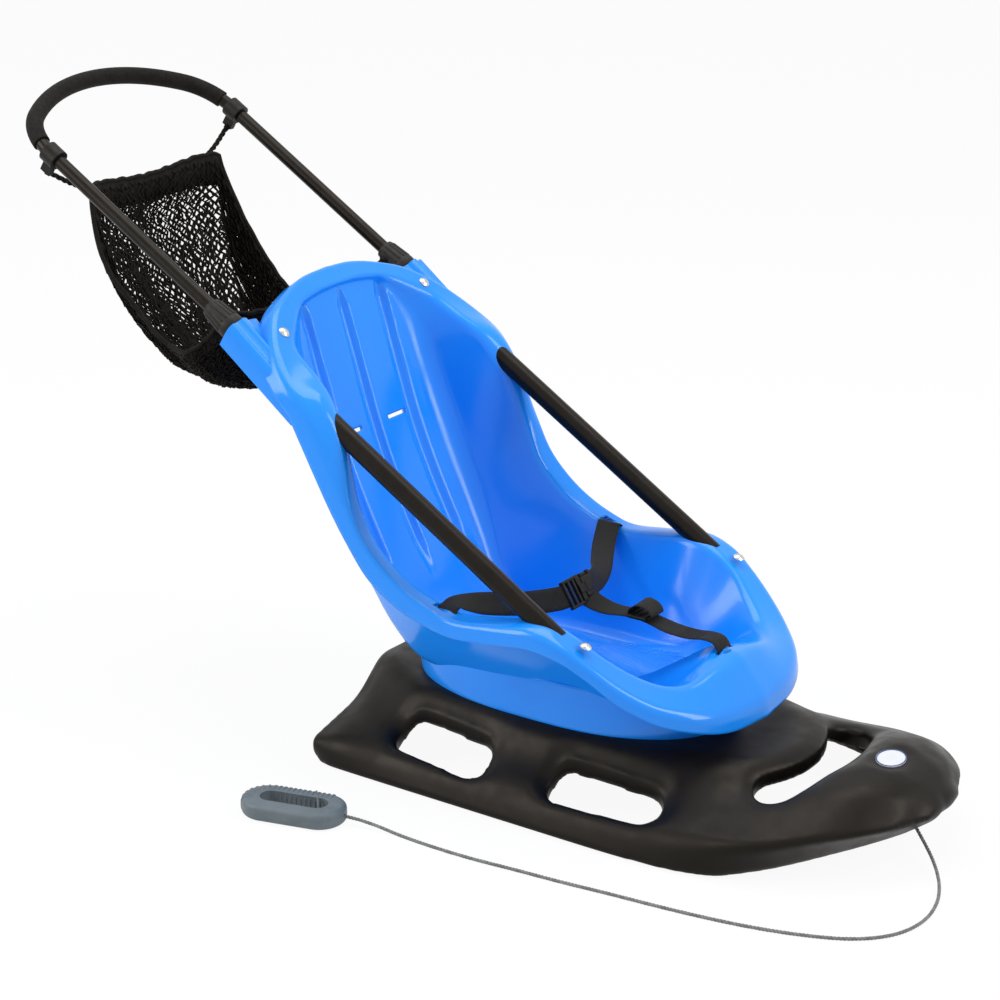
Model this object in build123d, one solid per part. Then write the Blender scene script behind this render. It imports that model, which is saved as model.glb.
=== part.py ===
"""Child sled: a moulded bucket seat on a moulded base, with a telescopic push handle and a tow cord.

Millimetres. +X points to the nose, +Y to the rider's left, +Z up. The origin is on the ground,
below the middle of the length.
"""
import os
from collections import namedtuple
from math import cos, pi, radians, sin, tan

from build123d import *

# Push tubes: parallel, slanted back, one each side
TUBE_ANGLE = 31.8
TUBE_HALF = 180.0
FOOT_X, FOOT_Z = 206.0, 255.0
OUTER_D, OUTER_WALL = 26.0, 2.0
OUTER_LOW, OUTER_TOP = -34.0, 574.0
TUBE_FIT = 0.3

# Twist collars and the handle that slides in them
COLLAR_LOW, COLLAR_TOP = 541.0, 588.0
COLLAR_D, COLLAR_TOP_D = 36.0, 30.0
COLLAR_LIP = 10.0
INNER_D = 18.0
INNER_LOW = 470.0
BUSH_LENGTH = 24.0
BOW_START, BOW_DEPTH = 897.0, 110.0
BOW_CORNER = 80.0
GRIP_D = 23.0
GRIP_START = 14.0
CLIP_S, CLIP_LENGTH, CLIP_D = 880.0, 22.0, 28.0
CLIP_EAR = 16.0

# Seat shell
WALL = 5.0
PLAN_BACK, PLAN_FRONT = -258.0, 412.0
PLAN_HALF = 212.0
SLEEVE_D = 40.0
SLEEVE_LOW, SLEEVE_TOP = 396.0, 540.0
BOSS_D, BOSS_LOW = 38.0, -42.0
LAP_SLOT_X, LAP_SLOT_Y, LAP_SLOT_Z = 76.0, PLAN_HALF - 32.0, 238.0
GROOVE_Y, GROOVE_W, GROOVE_DEEP = 78.0, 12.0, 2.6
GROOVE_FOOT, GROOVE_TOP, GROOVE_REACH = 205.0, 552.0, 400.0
BACK_SLOT_X, BACK_SLOT_Y, BACK_SLOT_Z = -175.0, 47.0, 385.0
BACK_SLOT_W, BACK_SLOT_T = 37.0, 5.0
POMMEL_X, POMMEL_TOP = 345.0, 196.0

# Base
BASE_SKIN = 10.0
BASE_SPACE_ROWS = 8
SPACE_DROP = 4.0
GROUND_BOX = 1500.0
HOLD_DEEP = 56.0
OPEN_HALF, OPEN_X, OPEN_BULGE, OPEN_W = 92.0, 486.0, 26.0, 60.0
SEAT_Z, SEAT_FIT = 98.0, 1.0
BADGE_X, BADGE_Z, BADGE_TILT = OPEN_X + 102.0, 110.0, 8.0
BADGE_L, BADGE_W, BADGE_T = 34.0, 48.0, 2.0

# Harness
WEB_W, WEB_T = 30.0, 2.0
BUCKLE_X, BUCKLE_Z = 149.0, 226.0
SOCKET = (40.0, 36.0, 11.0)
PLUG = (38.0, 18.0, 9.0)
BUCKLE_GAP = 0.4
ADJUSTER = (24.0, 40.0, 4.0)
ADJUSTER_X = 241.0
SLIT_FIT = 0.6

# Rivets
RIVET_D, RIVET_H, RIVET_SHANK_D = 15.0, 3.4, 5.0
RIVET_BACK_X, RIVET_BACK_Y = -202.0, 147.0
RIVET_ARM_X, RIVET_ARM_Y = 272.0, 180.0

# Tow cord and grip
ROPE_D = 4.5
TOW_EXIT = Vector(622.0, -4.0, 38.0)
TOW_RUN = Vector(0.75, -0.45, -0.48).normalized()
EYELET_D, EYELET_L = 10.0, 22.0
KNOT_D, KNOT_CUT = 11.0, 5.1
TOW_GRIP = (-38.0, -352.0)
TOW_GRIP_L, TOW_GRIP_W, TOW_GRIP_T = 135.0, 66.0, 22.0
TOW_GRIP_HOLE_L, TOW_GRIP_HOLE_W = 89.0, 27.0
TOW_GRIP_TURN = 15.0

RISE = radians(TUBE_ANGLE)
UP_TUBE = Vector(-cos(RISE), 0, sin(RISE))
OFF_TUBE = Vector(sin(RISE), 0, cos(RISE))
SIDES = (("right", -1), ("left", 1))


def on_tube(side, distance):
    """Plane across a tube, its normal up the tube, at a distance from the tube's foot."""
    foot = Vector(FOOT_X, side * TUBE_HALF, FOOT_Z)
    return Plane(origin=foot + UP_TUBE * distance, x_dir=(0, 1, 0), z_dir=UP_TUBE)


def rod(side, low, top, diameter):
    return on_tube(side, low) * Cylinder(diameter / 2, top - low, align=(Align.CENTER, Align.CENTER, Align.MIN))


def outline(points, radii):
    """Flat face inside a closed run of corners, each rounded by its radius."""
    return make_face(FilletPolyline(*points, radius=radii, close=True))


def side_prism(points, radii, half):
    """Solid with an X-Z outline, as wide as half to each side."""
    return extrude(Plane.XZ * outline(points, radii), amount=half, both=True)


def ribbon(stations, width, thickness):
    """Webbing through stations of (centre, run direction, width direction)."""
    cuts = [
        Plane(origin=at, x_dir=across, z_dir=run) * Rectangle(width, thickness)
        for at, run, across in stations
    ]
    return loft(cuts, ruled=True)


# Base sections along X: half widths and heights of the sole, edge, deck foot and hump shoulder, and
# the share of the full rounding. The running soles start below the ground and are trimmed flat.
Hat = namedtuple("Hat", "x sole sole_z edge edge_z deck deck_z hump hump_z soft")
HATS = (
    Hat(-112, 214, 8, 222, 29, 124, 54, 72, 99, 0.5),
    Hat(-84, 228, -8, 217, 36, 140, 58, 92, 102, 1),
    Hat(-20, 231, -8, 212, 38, 157, 62, 128, 100, 1),
    Hat(60, 232, -8, 210, 38, 166, 64, 140, 100, 1),
    Hat(190, 232, -8, 210, 38, 168, 64, 142, 100, 1),
    Hat(330, 231, -8, 210, 38, 162, 64, 124, 100, 1),
    Hat(430, 218, -4, 206, 42, 142, 70, 90, 98, 1),
    Hat(510, 176, 10, 196, 52, 118, 84, 66, 100, 0.8),
    Hat(580, 112, 28, 158, 64, 92, 102, 46, 112, 0.6),
    Hat(630, 62, 44, 106, 68, 64, 95, 30, 102, 0.4),
    Hat(656, 20, 54, 48, 66, 30, 78, 14, 82, 0.25),
)
HAT_ROUND = (10, 18, 22, 10)


def hat_section(row, inset):
    """Section of the base, or of the space inside it where it is drawn in by an inset."""
    lean = (row.edge - row.sole) / (row.edge_z - row.sole_z)
    foot = SPACE_DROP * inset
    half = [(row.sole - 1.5 * inset - lean * foot, row.sole_z - foot), (row.edge - inset, row.edge_z - inset),
            (row.deck, row.deck_z - inset), (row.hump - inset / 2, row.hump_z - inset)]
    corners = half + [(-y, z) for y, z in reversed(half)]
    radii = [r * row.soft for r in HAT_ROUND + HAT_ROUND[::-1]]
    across = Plane(origin=(row.x, 0, 0), x_dir=(0, 1, 0), z_dir=(1, 0, 0))
    return across * outline(corners, radii)


def base_space():
    """Open space under the skin, from just inside the tail to the solid nose."""
    rows = [HATS[0]._replace(x=HATS[0].x + BASE_SKIN), *HATS[1:BASE_SPACE_ROWS]]
    return loft([hat_section(row, BASE_SKIN) for row in rows], ruled=True)


# Handholds: middle, overall length and turn about Z, on the left side
Hold = namedtuple("Hold", "x y length turn")
HOLDS = (Hold(56, 180, 160, 1), Hold(296, 180, 160, -2))


def handhold(hold, side):
    through = extrude(SlotOverall(hold.length, HOLD_DEEP), amount=GROUND_BOX, both=True)
    return Pos(hold.x, side * hold.y, 0) * Rot(0, 0, side * hold.turn) * through


def badge_seat():
    """Plane of the badge's bed on the nose."""
    return Plane(origin=(BADGE_X, 0, BADGE_Z)) * Rot(0, BADGE_TILT, 0)


def sled_base():
    """Thin-skinned body, open below, with flat running soles."""
    body = loft([hat_section(row, 0) for row in HATS], ruled=True)
    below = Box(GROUND_BOX, GROUND_BOX, GROUND_BOX, align=(Align.CENTER, Align.CENTER, Align.MAX))
    cuts = [below, base_space()]
    cuts += [handhold(hold, side) for hold in HOLDS for _, side in SIDES]
    bend = ThreePointArc((OPEN_X, -OPEN_HALF), (OPEN_X + OPEN_BULGE, 0), (OPEN_X, OPEN_HALF))
    cuts.append(Pos(0, 0, -20) * extrude(SlotArc(bend, OPEN_W), amount=200))
    cuts.append(extrude(slice_face(TUB[0], SEAT_FIT), amount=100))
    bed = Pos(0, 0, -BADGE_T) * extrude(Ellipse(BADGE_L / 2 + SEAT_FIT, BADGE_W / 2 + SEAT_FIT), amount=30)
    cuts.append(badge_seat() * bed)
    bore = Plane(origin=TOW_EXIT - TOW_RUN * EYELET_L, z_dir=TOW_RUN)
    cuts.append(bore * Cylinder(EYELET_D / 2 + TUBE_FIT, 60, align=(Align.CENTER, Align.CENTER, Align.MIN)))
    return body - cuts


def badge_plate():
    return badge_seat() * Pos(0, 0, -BADGE_T) * extrude(Ellipse(BADGE_L / 2, BADGE_W / 2), amount=BADGE_T)


def tow_eyelet():
    seat = Plane(origin=TOW_EXIT - TOW_RUN * EYELET_L, z_dir=TOW_RUN)
    return seat * Cylinder(EYELET_D / 2, EYELET_L, align=(Align.CENTER, Align.CENTER, Align.MIN))


# Rim line of the seat in side view, from the back's top to the apron's foot, with corner radii
Corner = namedtuple("Corner", "x z radius")
RIM = (
    Corner(-262, 594, 0),
    Corner(-108, 452, 60),
    Corner(-40, 312, 90),
    Corner(40, 252, 80),
    Corner(96, 238, 100),
    Corner(226, 254, 60),
    Corner(300, 230, 60),
    Corner(394, 190, 42),
    Corner(412, 122, 0),
)
SKIRT = (
    Corner(396, 122, 0),
    Corner(345, 154, 60),
    Corner(292, 203, 60),
    Corner(238, 229, 50),
    Corner(112, 217, 90),
    Corner(20, 232, 80),
    Corner(-36, 278, 90),
    Corner(-128, 440, 60),
    Corner(-280, 574, 0),
)


def rim_height(x):
    """Height of the rim line's straight runs at x."""
    for a, b in zip(RIM, RIM[1:]):
        if a.x <= x <= b.x:
            return a.z + (b.z - a.z) * (x - a.x) / (b.x - a.x)
    raise ValueError("no rim at x")


def rim_normal(x):
    for a, b in zip(RIM, RIM[1:]):
        if a.x <= x <= b.x:
            return Vector(a.z - b.z, 0, b.x - a.x).normalized()
    raise ValueError("no rim at x")


def rim_under(drop):
    """Everything in side view that lies below the rim line, dropped along Z."""
    line = [(c.x, c.z - drop) for c in RIM]
    points = line + [(RIM[-1].x, 40), (-420, 40), (-420, RIM[0].z + 140 - drop)]
    radii = [c.radius for c in RIM] + [0, 0, 0]
    return side_prism(points, radii, PLAN_HALF + 20)


def skirt_band():
    points = [(c.x, c.z) for c in RIM] + [(c.x, c.z) for c in SKIRT]
    radii = [c.radius for c in RIM] + [c.radius for c in SKIRT]
    return side_prism(points, radii, PLAN_HALF + 20)


def plan_face(inset):
    """Outline of the flange from above, drawn in by an inset."""
    half = PLAN_HALF - inset
    back, front = PLAN_BACK + inset, PLAN_FRONT - inset
    corners = [
        (back, -110), (back + 60, -165), (-110, -half), (250, -half), (front - 30, -half + 30), (front, -60),
        (front, 60), (front - 30, half - 30), (250, half), (-110, half), (back + 60, 165), (back, 110),
    ]
    radii = [70, 40, 60, 60, 90, 90, 90, 90, 60, 60, 40, 70]
    return outline(corners, radii)


# Horizontal slices of the tub's outside and of its hollow: ends, half width and corner radius
Slice = namedtuple("Slice", "z back front half corner")
TUB = (
    Slice(SEAT_Z, -72, 372, 132, 120),
    Slice(125, -71, 366, 131, 112),
    Slice(150, -72, 356, 132, 104),
    Slice(225, -105, 390, 176, 98),
    Slice(312, -149, 424, 189, 104),
    Slice(394, -183, 444, 189, 104),
    Slice(482, -212, 456, 178, 98),
    Slice(520, -225, 466, 154, 64),
    Slice(548, -235, 476, 116, 44),
    Slice(640, -248, 496, 66, 34),
)
HOLLOW = (
    Slice(116, -2, 206, 100, 56),
    Slice(131, -36, 268, 108, 62),
    Slice(165, -64, 322, 132, 74),
    Slice(225, -99, 382, 170, 92),
    Slice(312, -143, 420, 183, 98),
    Slice(394, -177, 440, 183, 98),
    Slice(482, -206, 450, 172, 92),
    Slice(520, -219, 460, 148, 58),
    Slice(548, -229, 470, 110, 38),
    Slice(640, -242, 490, 60, 28),
)


POMMEL = (
    Slice(110, 232, 384, 62, 56),
    Slice(150, 276, 386, 50, 44),
    Slice(POMMEL_TOP + 4, 326, 390, 36, 24),
)


def slice_face(row, grow):
    box = Rectangle(row.front - row.back + 2 * grow, 2 * (row.half + grow))
    return Pos((row.front + row.back) / 2, 0, row.z) * fillet(box.vertices(), row.corner + grow)


def slices(rows):
    return loft([slice_face(row, 0) for row in rows], ruled=True)


def back_grooves(hollow):
    """Upright grooves pressed into the back: the hollow set back, kept in narrow slabs."""
    tall = GROOVE_TOP - GROOVE_FOOT
    slab = Box(GROOVE_REACH, GROOVE_W, tall, align=(Align.MAX, Align.CENTER, Align.MIN))
    set_back = Pos(-GROOVE_DEEP, 0, 0) * hollow
    return [set_back & Pos(0, y, GROOVE_FOOT) * slab for y in (-GROOVE_Y, 0, GROOVE_Y)]


def seat_shell():
    plan = extrude(plan_face(0), amount=700)
    inner_plan = extrude(plan_face(WALL), amount=700)
    flange = plan & rim_under(0)
    flange -= rim_under(WALL)
    skirt = (plan - inner_plan) & skirt_band()
    hollow = slices(HOLLOW)
    tub = slices(TUB) & rim_under(0)
    shell = flange + skirt + tub
    for _, side in SIDES:
        shell += rod(side, SLEEVE_LOW, SLEEVE_TOP, SLEEVE_D) & rim_under(0)
        shell += rod(side, BOSS_LOW, 20, BOSS_D) & rim_under(0)
    shell -= [hollow, *back_grooves(hollow)]
    shell += slices(POMMEL) & rim_under(0)
    shell -= Pos(POMMEL_X + 12, 0, POMMEL_TOP) * Box(WEB_T + 2 * SLIT_FIT, WEB_W + 2 * SLIT_FIT, 60)
    for _, side in SIDES:
        shell -= rod(side, OUTER_LOW - TUBE_FIT, COLLAR_TOP, OUTER_D + 2 * TUBE_FIT)
        slit = Pos(LAP_SLOT_X, side * LAP_SLOT_Y, LAP_SLOT_Z)
        shell -= slit * Box(WEB_W + 2 * SLIT_FIT, 60, WEB_T + 2 * SLIT_FIT)
        shell -= Pos(BACK_SLOT_X, side * BACK_SLOT_Y, BACK_SLOT_Z) * Box(60, BACK_SLOT_W, BACK_SLOT_T)
    return shell


def outer_tube(side):
    inside = OUTER_D - 2 * OUTER_WALL
    return rod(side, OUTER_LOW, OUTER_TOP, OUTER_D) - rod(side, OUTER_LOW - 1, OUTER_TOP + 1, inside)


def collar(side):
    """Twist collar with a wide ribbed skirt, a cone and a socket over the outer tube."""
    skirt_top = COLLAR_TOP - COLLAR_LIP
    body = rod(side, COLLAR_LOW, skirt_top, COLLAR_D)
    cone = extrude(on_tube(side, skirt_top) * Circle(COLLAR_D / 2), amount=COLLAR_LIP,
                   taper=atan_deg((COLLAR_D - COLLAR_TOP_D) / 2, COLLAR_LIP))
    body += cone
    body -= rod(side, COLLAR_LOW - 1, OUTER_TOP + TUBE_FIT, OUTER_D + 2 * TUBE_FIT)
    body -= rod(side, COLLAR_LOW - 1, COLLAR_TOP + 1, INNER_D + 2 * TUBE_FIT)
    return body


def atan_deg(opposite, adjacent):
    return Vector(adjacent, 0, 0).get_angle(Vector(adjacent, opposite, 0))


HANDLE = Plane(origin=(FOOT_X, 0, FOOT_Z), x_dir=(0, 1, 0), z_dir=OFF_TUBE)


def bow_path(skip):
    """Three tangent arcs from one tube over the bow to the other, in the tubes' plane."""
    corner_y = TUBE_HALF - BOW_CORNER
    top_r = (corner_y ** 2 + BOW_DEPTH ** 2 - BOW_CORNER ** 2) / (2 * (BOW_DEPTH - BOW_CORNER))
    top_s = BOW_START + BOW_DEPTH - top_r
    turn = 90 - Vector(0, 1, 0).get_angle(Vector(corner_y, BOW_START - top_s, 0))
    right = CenterArc((corner_y, BOW_START), BOW_CORNER, skip, turn - skip)
    top = CenterArc((0, top_s), top_r, turn, 180 - 2 * turn)
    left = CenterArc((-corner_y, BOW_START), BOW_CORNER, 180 - turn, turn - skip)
    return right, top, left


def handle_bar():
    right, top, left = bow_path(0)
    run = Line((TUBE_HALF, INNER_LOW), (TUBE_HALF, BOW_START))
    back = Line((-TUBE_HALF, BOW_START), (-TUBE_HALF, INNER_LOW))
    path = HANDLE * Wire([*run.edges(), *right.edges(), *top.edges(), *left.edges(), *back.edges()])
    bar = sweep(Plane(origin=path @ 0, z_dir=path % 0) * Circle(INNER_D / 2), path=path)
    bush_d = OUTER_D - 2 * OUTER_WALL - 2 * TUBE_FIT
    for _, side in SIDES:
        bar += rod(side, INNER_LOW, INNER_LOW + BUSH_LENGTH, bush_d)
    return bar


def handle_grip():
    right, top, left = bow_path(GRIP_START)
    path = HANDLE * Wire([*right.edges(), *top.edges(), *left.edges()])
    start = Plane(origin=path @ 0, z_dir=path % 0)
    return sweep(start * Circle(GRIP_D / 2), path=path) - sweep(start * Circle(INNER_D / 2 + TUBE_FIT), path=path)


def bag_clip(side):
    ring = rod(side, CLIP_S, CLIP_S + CLIP_LENGTH, CLIP_D)
    ear_at = on_tube(side, CLIP_S + CLIP_LENGTH / 2).origin - OFF_TUBE * (CLIP_D / 2 + CLIP_EAR / 2 - 3)
    ear = Plane(origin=ear_at, x_dir=UP_TUBE, z_dir=OFF_TUBE) * Box(CLIP_LENGTH - 6, 8, CLIP_EAR)
    ring += ear
    return ring - rod(side, CLIP_S - 1, CLIP_S + CLIP_LENGTH + 1, INNER_D + 2 * TUBE_FIT)


# Bag slices from the mouth down: middle, tilt, half length along the tubes, half width, corner radius
Sack = namedtuple("Sack", "x z tilt half_x half_y corner")
SACK = (
    Sack(-428, 600, TUBE_ANGLE, 150, 148, 30),
    Sack(-430, 540, 28, 135, 148, 40),
    Sack(-425, 490, 24, 105, 136, 50),
    Sack(-405, 440, 16, 70, 100, 50),
)
BAG_WALL = 3.0
TIE_W, TIE_T = 12.0, 4.0


def sack(inset):
    cuts = []
    for row in SACK:
        across = Plane(origin=(row.x, 0, row.z + inset)) * Rot(0, row.tilt, 0)
        box = Rectangle(2 * (row.half_x - inset), 2 * (row.half_y - inset))
        cuts.append(across * fillet(box.vertices(), row.corner - inset))
    return loft(cuts)


def bag_tie(start, end, facing):
    """Short band from the bag's mouth to what holds it, its end face just clear of its seat."""
    run = (end - start).normalized()
    return ribbon([(start, run, UP_TUBE), (end, facing, UP_TUBE)], TIE_W, TIE_T)


def net_bag():
    """Sack hung from the clips at its rear corners and from the collars at its front ones."""
    bag = sack(0) - sack(BAG_WALL)
    mouth = SACK[0]
    for _, side in SIDES:
        rim = Vector(mouth.x, side * (mouth.half_y - BAG_WALL), mouth.z) - OFF_TUBE * TIE_W
        reach = mouth.half_x - mouth.corner
        bag += bag_tie(rim + UP_TUBE * reach, clip_foot(side), OFF_TUBE)
        bag += bag_tie(rim - UP_TUBE * reach, collar_foot(side), Vector(0, side, 0))
    return bag


def clip_foot(side):
    """Point just below the clip's ear."""
    at = on_tube(side, CLIP_S + CLIP_LENGTH / 2).origin
    return at - OFF_TUBE * (CLIP_D / 2 + CLIP_EAR - 3 + TUBE_FIT)


def collar_foot(side):
    """Point just inside the collar's skirt, on the side towards the bag."""
    at = on_tube(side, COLLAR_TOP - COLLAR_LIP - TIE_W / 2).origin
    return at - Vector(0, side, 0) * (COLLAR_D / 2 + TUBE_FIT)


def lap_belt(side):
    """Webbing out of its slot in the seat's side and down to its half of the buckle."""
    reach = SOCKET[1] if side < 0 else PLUG[1]
    start = Vector(LAP_SLOT_X, side * (LAP_SLOT_Y + 8), LAP_SLOT_Z)
    inner = Vector(LAP_SLOT_X, side * (LAP_SLOT_Y - 24), LAP_SLOT_Z)
    end = Vector(BUCKLE_X - 6, side * (reach + BUCKLE_GAP + 7), BUCKLE_Z)
    seat = Vector(BUCKLE_X - 3, side * (reach + BUCKLE_GAP), BUCKLE_Z)
    run = (end - inner).normalized()
    across = (Vector(1, 0, 0) - run * run.X).normalized()
    level = Vector(0, -side, 0)
    return ribbon([(start, level, (1, 0, 0)), (inner, level, (1, 0, 0)), (inner + run * 20, run, across),
                   (end, run, across), (seat, level, (1, 0, 0))], WEB_W, WEB_T)


def buckle_half(size, side):
    """Half of the side-release buckle, its inner end on the middle plane."""
    block = fillet(Box(*size).edges(), 2.5)
    return Pos(BUCKLE_X, side * (size[1] / 2 + BUCKLE_GAP / 2), BUCKLE_Z) * block


def crotch_run():
    slot_at = Vector(POMMEL_X - 6, 0, POMMEL_TOP + 10)
    end = Vector(BUCKLE_X + SOCKET[0] / 2 + BUCKLE_GAP + 1, 0, BUCKLE_Z)
    return slot_at, end, (end - slot_at).normalized()


def crotch_strap():
    """Webbing from the slot in the pommel to the buckle."""
    slot_at, end, run = crotch_run()
    across = (0, 1, 0)
    low = Vector(POMMEL_X + 12, 0, POMMEL_TOP - 12)
    return ribbon([(low, (0, 0, 1), across), (low + Vector(0, 0, 20), (0, 0, 1), across),
                   (slot_at, run, across), (end, run, across)], WEB_W, WEB_T)


def strap_adjuster():
    slot_at, end, run = crotch_run()
    at = slot_at + run * ((ADJUSTER_X - POMMEL_X) / run.X)
    plane = Plane(origin=at, x_dir=run, z_dir=run.cross(Vector(0, -1, 0)))
    plate = fillet(Box(*ADJUSTER).edges().filter_by(Axis.Z), 4)
    bars = [Pos(dx, 0, 0) * Box(6, WEB_W + 2, 10) for dx in (-6, 6)]
    return plane * Pos(0, 0, WEB_T / 2 + ADJUSTER[2] / 2 + BUCKLE_GAP) * (plate - bars)


def rivets():
    heads = []
    for x, y in ((RIVET_BACK_X, RIVET_BACK_Y), (RIVET_ARM_X, RIVET_ARM_Y)):
        for _, side in SIDES:
            seat = Plane(origin=(x, side * y, rim_height(x)), x_dir=(0, 1, 0), z_dir=rim_normal(x))
            radius = (RIVET_D ** 2 / 4 + RIVET_H ** 2) / (2 * RIVET_H)
            ball = Pos(0, 0, RIVET_H - radius) * Sphere(radius)
            keep = Cylinder(RIVET_D, RIVET_H, align=(Align.CENTER, Align.CENTER, Align.MIN))
            heads.append(seat * Pos(0, 0, 0.2) * (ball & keep))
    return Compound(children=heads)


def grip_point(along):
    """Point on the tow grip's long axis, at half its height."""
    turn = radians(TOW_GRIP_TURN)
    return (TOW_GRIP[0] + along * cos(turn), TOW_GRIP[1] + along * sin(turn), TOW_GRIP_T / 2)


# Tow cord route from under the nose to the grip, chosen to follow the photographed lie
ROPE_ROUTE = (
    tuple(TOW_EXIT), tuple(TOW_EXIT + TOW_RUN * 28), (669, -39, 13), (692, -70, 5), (709, -110, 2.4), (716, -158, 2.4),
    (704, -204, 2.4), (670, -240, 2.4), (620, -263, 2.4), (564, -280, 2.4), (506, -291, 2.4), (446, -299, 2.4),
    (386, -305, 2.4), (326, -313, 2.4), (266, -318, 2.4), (206, -325, 2.4), (148, -326.5, 2.4), (100, -325, 2.6),
    (66, -325, 6), grip_point(TOW_GRIP_L / 2 + 5), grip_point(TOW_GRIP_HOLE_L / 2 - TUBE_FIT),
)


def route_radii(points):
    """Largest arc that each corner's two runs allow."""
    found = []
    for a, b, c in zip(points, points[1:], points[2:]):
        before, after = Vector(b) - Vector(a), Vector(c) - Vector(b)
        turn = radians(before.get_angle(after))
        found.append(0.45 * min(before.length, after.length) / tan(turn / 2))
    return found


def tow_rope():
    path = FilletPolyline(*ROPE_ROUTE, radius=route_radii(ROPE_ROUTE))
    print("cord length", round(path.length), "least radius", round(min(route_radii(ROPE_ROUTE))))
    tube = sweep(Plane(origin=path @ 0, z_dir=path % 0) * Circle(ROPE_D / 2), path=path)
    print("cord volume ratio", round(tube.volume / (path.length * pi * ROPE_D ** 2 / 4), 4))
    return tube


def grip_place():
    return Pos(*TOW_GRIP, 0) * Rot(0, 0, TOW_GRIP_TURN)


def tow_grip():
    """Loop grip that lies flat, bored along its length for the cord."""
    ring = fillet(extrude(SlotOverall(TOW_GRIP_L, TOW_GRIP_W), amount=TOW_GRIP_T).edges(), 7)
    ring -= extrude(SlotOverall(TOW_GRIP_HOLE_L, TOW_GRIP_HOLE_W), amount=TOW_GRIP_T)
    bore = Pos(TOW_GRIP_L / 2, 0, TOW_GRIP_T / 2) * Rot(0, 90, 0) * Cylinder(ROPE_D / 2 + TUBE_FIT, TOW_GRIP_L / 2)
    return grip_place() * (ring - bore)


def tow_knot():
    """Stopper knot on the cord's end, inside the grip's loop."""
    face = TOW_GRIP_HOLE_L / 2 - TUBE_FIT
    ball = Pos(face - KNOT_CUT, 0, TOW_GRIP_T / 2) * Sphere(KNOT_D / 2)
    keep = Pos(face - KNOT_D, 0, TOW_GRIP_T / 2) * Box(2 * KNOT_D, 2 * KNOT_D, 2 * KNOT_D)
    return grip_place() * (ball & keep)


def main():
    os.makedirs("parts", exist_ok=True)
    parts = {"sled_base": sled_base(), "seat_shell": seat_shell(), "handle_bar": handle_bar(),
             "handle_grip": handle_grip(), "net_bag": net_bag(), "crotch_strap": crotch_strap(),
             "strap_adjuster": strap_adjuster(), "rivets": rivets(), "badge_plate": badge_plate(),
             "tow_eyelet": tow_eyelet(), "tow_rope": tow_rope(), "tow_grip": tow_grip(), "tow_knot": tow_knot(),
             "buckle_socket": buckle_half(SOCKET, -1), "buckle_plug": buckle_half(PLUG, 1)}
    for name, side in SIDES:
        parts[f"outer_tube_{name}"] = outer_tube(side)
        parts[f"collar_{name}"] = collar(side)
        parts[f"bag_clip_{name}"] = bag_clip(side)
        parts[f"lap_belt_{name}"] = lap_belt(side)
    for name, part in parts.items():
        export_step(part, f"parts/{name}.step")


main()
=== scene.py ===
"""Looks of the child sled: moulded bucket seat, blow-moulded base, push handle with net bag, tow cord.

Shapes are written in millimetres in the sled's own frame (+X nose, +Y rider's left, +Z up) and
scaled to metres when a mesh is made.
"""
from collections import namedtuple
from math import cos, pi, radians, sin, tau

import bmesh
import bpy
import numpy as np
from mathutils import Matrix, Vector
from mathutils.bvhtree import BVHTree


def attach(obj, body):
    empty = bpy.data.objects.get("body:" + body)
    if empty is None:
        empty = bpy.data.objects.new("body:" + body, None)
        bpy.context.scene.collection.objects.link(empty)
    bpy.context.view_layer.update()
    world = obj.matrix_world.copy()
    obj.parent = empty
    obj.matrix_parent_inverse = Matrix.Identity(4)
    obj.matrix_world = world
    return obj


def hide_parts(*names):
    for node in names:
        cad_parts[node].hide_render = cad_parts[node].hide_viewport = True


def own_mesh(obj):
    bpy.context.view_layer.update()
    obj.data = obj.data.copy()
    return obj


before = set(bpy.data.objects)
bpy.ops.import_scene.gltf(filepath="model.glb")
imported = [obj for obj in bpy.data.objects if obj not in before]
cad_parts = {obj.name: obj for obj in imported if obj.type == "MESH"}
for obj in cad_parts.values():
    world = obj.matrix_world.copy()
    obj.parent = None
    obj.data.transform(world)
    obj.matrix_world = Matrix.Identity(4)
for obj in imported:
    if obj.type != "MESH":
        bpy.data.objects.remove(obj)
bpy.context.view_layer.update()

MM = 0.001
SIDES = (("right", -1), ("left", 1))
TUBE_ANGLE = radians(31.8)
UP_TUBE = np.array((-cos(TUBE_ANGLE), 0, sin(TUBE_ANGLE)))
OFF_TUBE = np.array((sin(TUBE_ANGLE), 0, cos(TUBE_ANGLE)))
TUBE_FOOT = np.array((206.0, 0, 255.0))
TUBE_HALF = 180.0


# Mesh helpers

def new_object(name, mesh):
    obj = bpy.data.objects.new(name, mesh)
    bpy.context.collection.objects.link(obj)
    return obj


def mesh_object(name, points, faces, smooth=True):
    """Object from points in millimetres."""
    mesh = bpy.data.meshes.new(name)
    mesh.from_pydata((np.asarray(points, float) * MM).tolist(), [], faces)
    mesh.update()
    mesh.polygons.foreach_set("use_smooth", [smooth] * len(mesh.polygons))
    return new_object(name, mesh)


def grid_faces(rows, columns, close_rows=False, close_columns=False, start=0):
    """Quads over a rows-by-columns grid of points."""
    faces = []
    for r in range(rows if close_rows else rows - 1):
        for c in range(columns if close_columns else columns - 1):
            r2, c2 = (r + 1) % rows, (c + 1) % columns
            faces.append([start + r * columns + c, start + r * columns + c2,
                          start + r2 * columns + c2, start + r2 * columns + c])
    return faces


def caps(rows, columns):
    """End faces of a tube of rows-by-columns points."""
    last = (rows - 1) * columns
    return [list(range(columns))[::-1], list(range(last, last + columns))]


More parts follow.
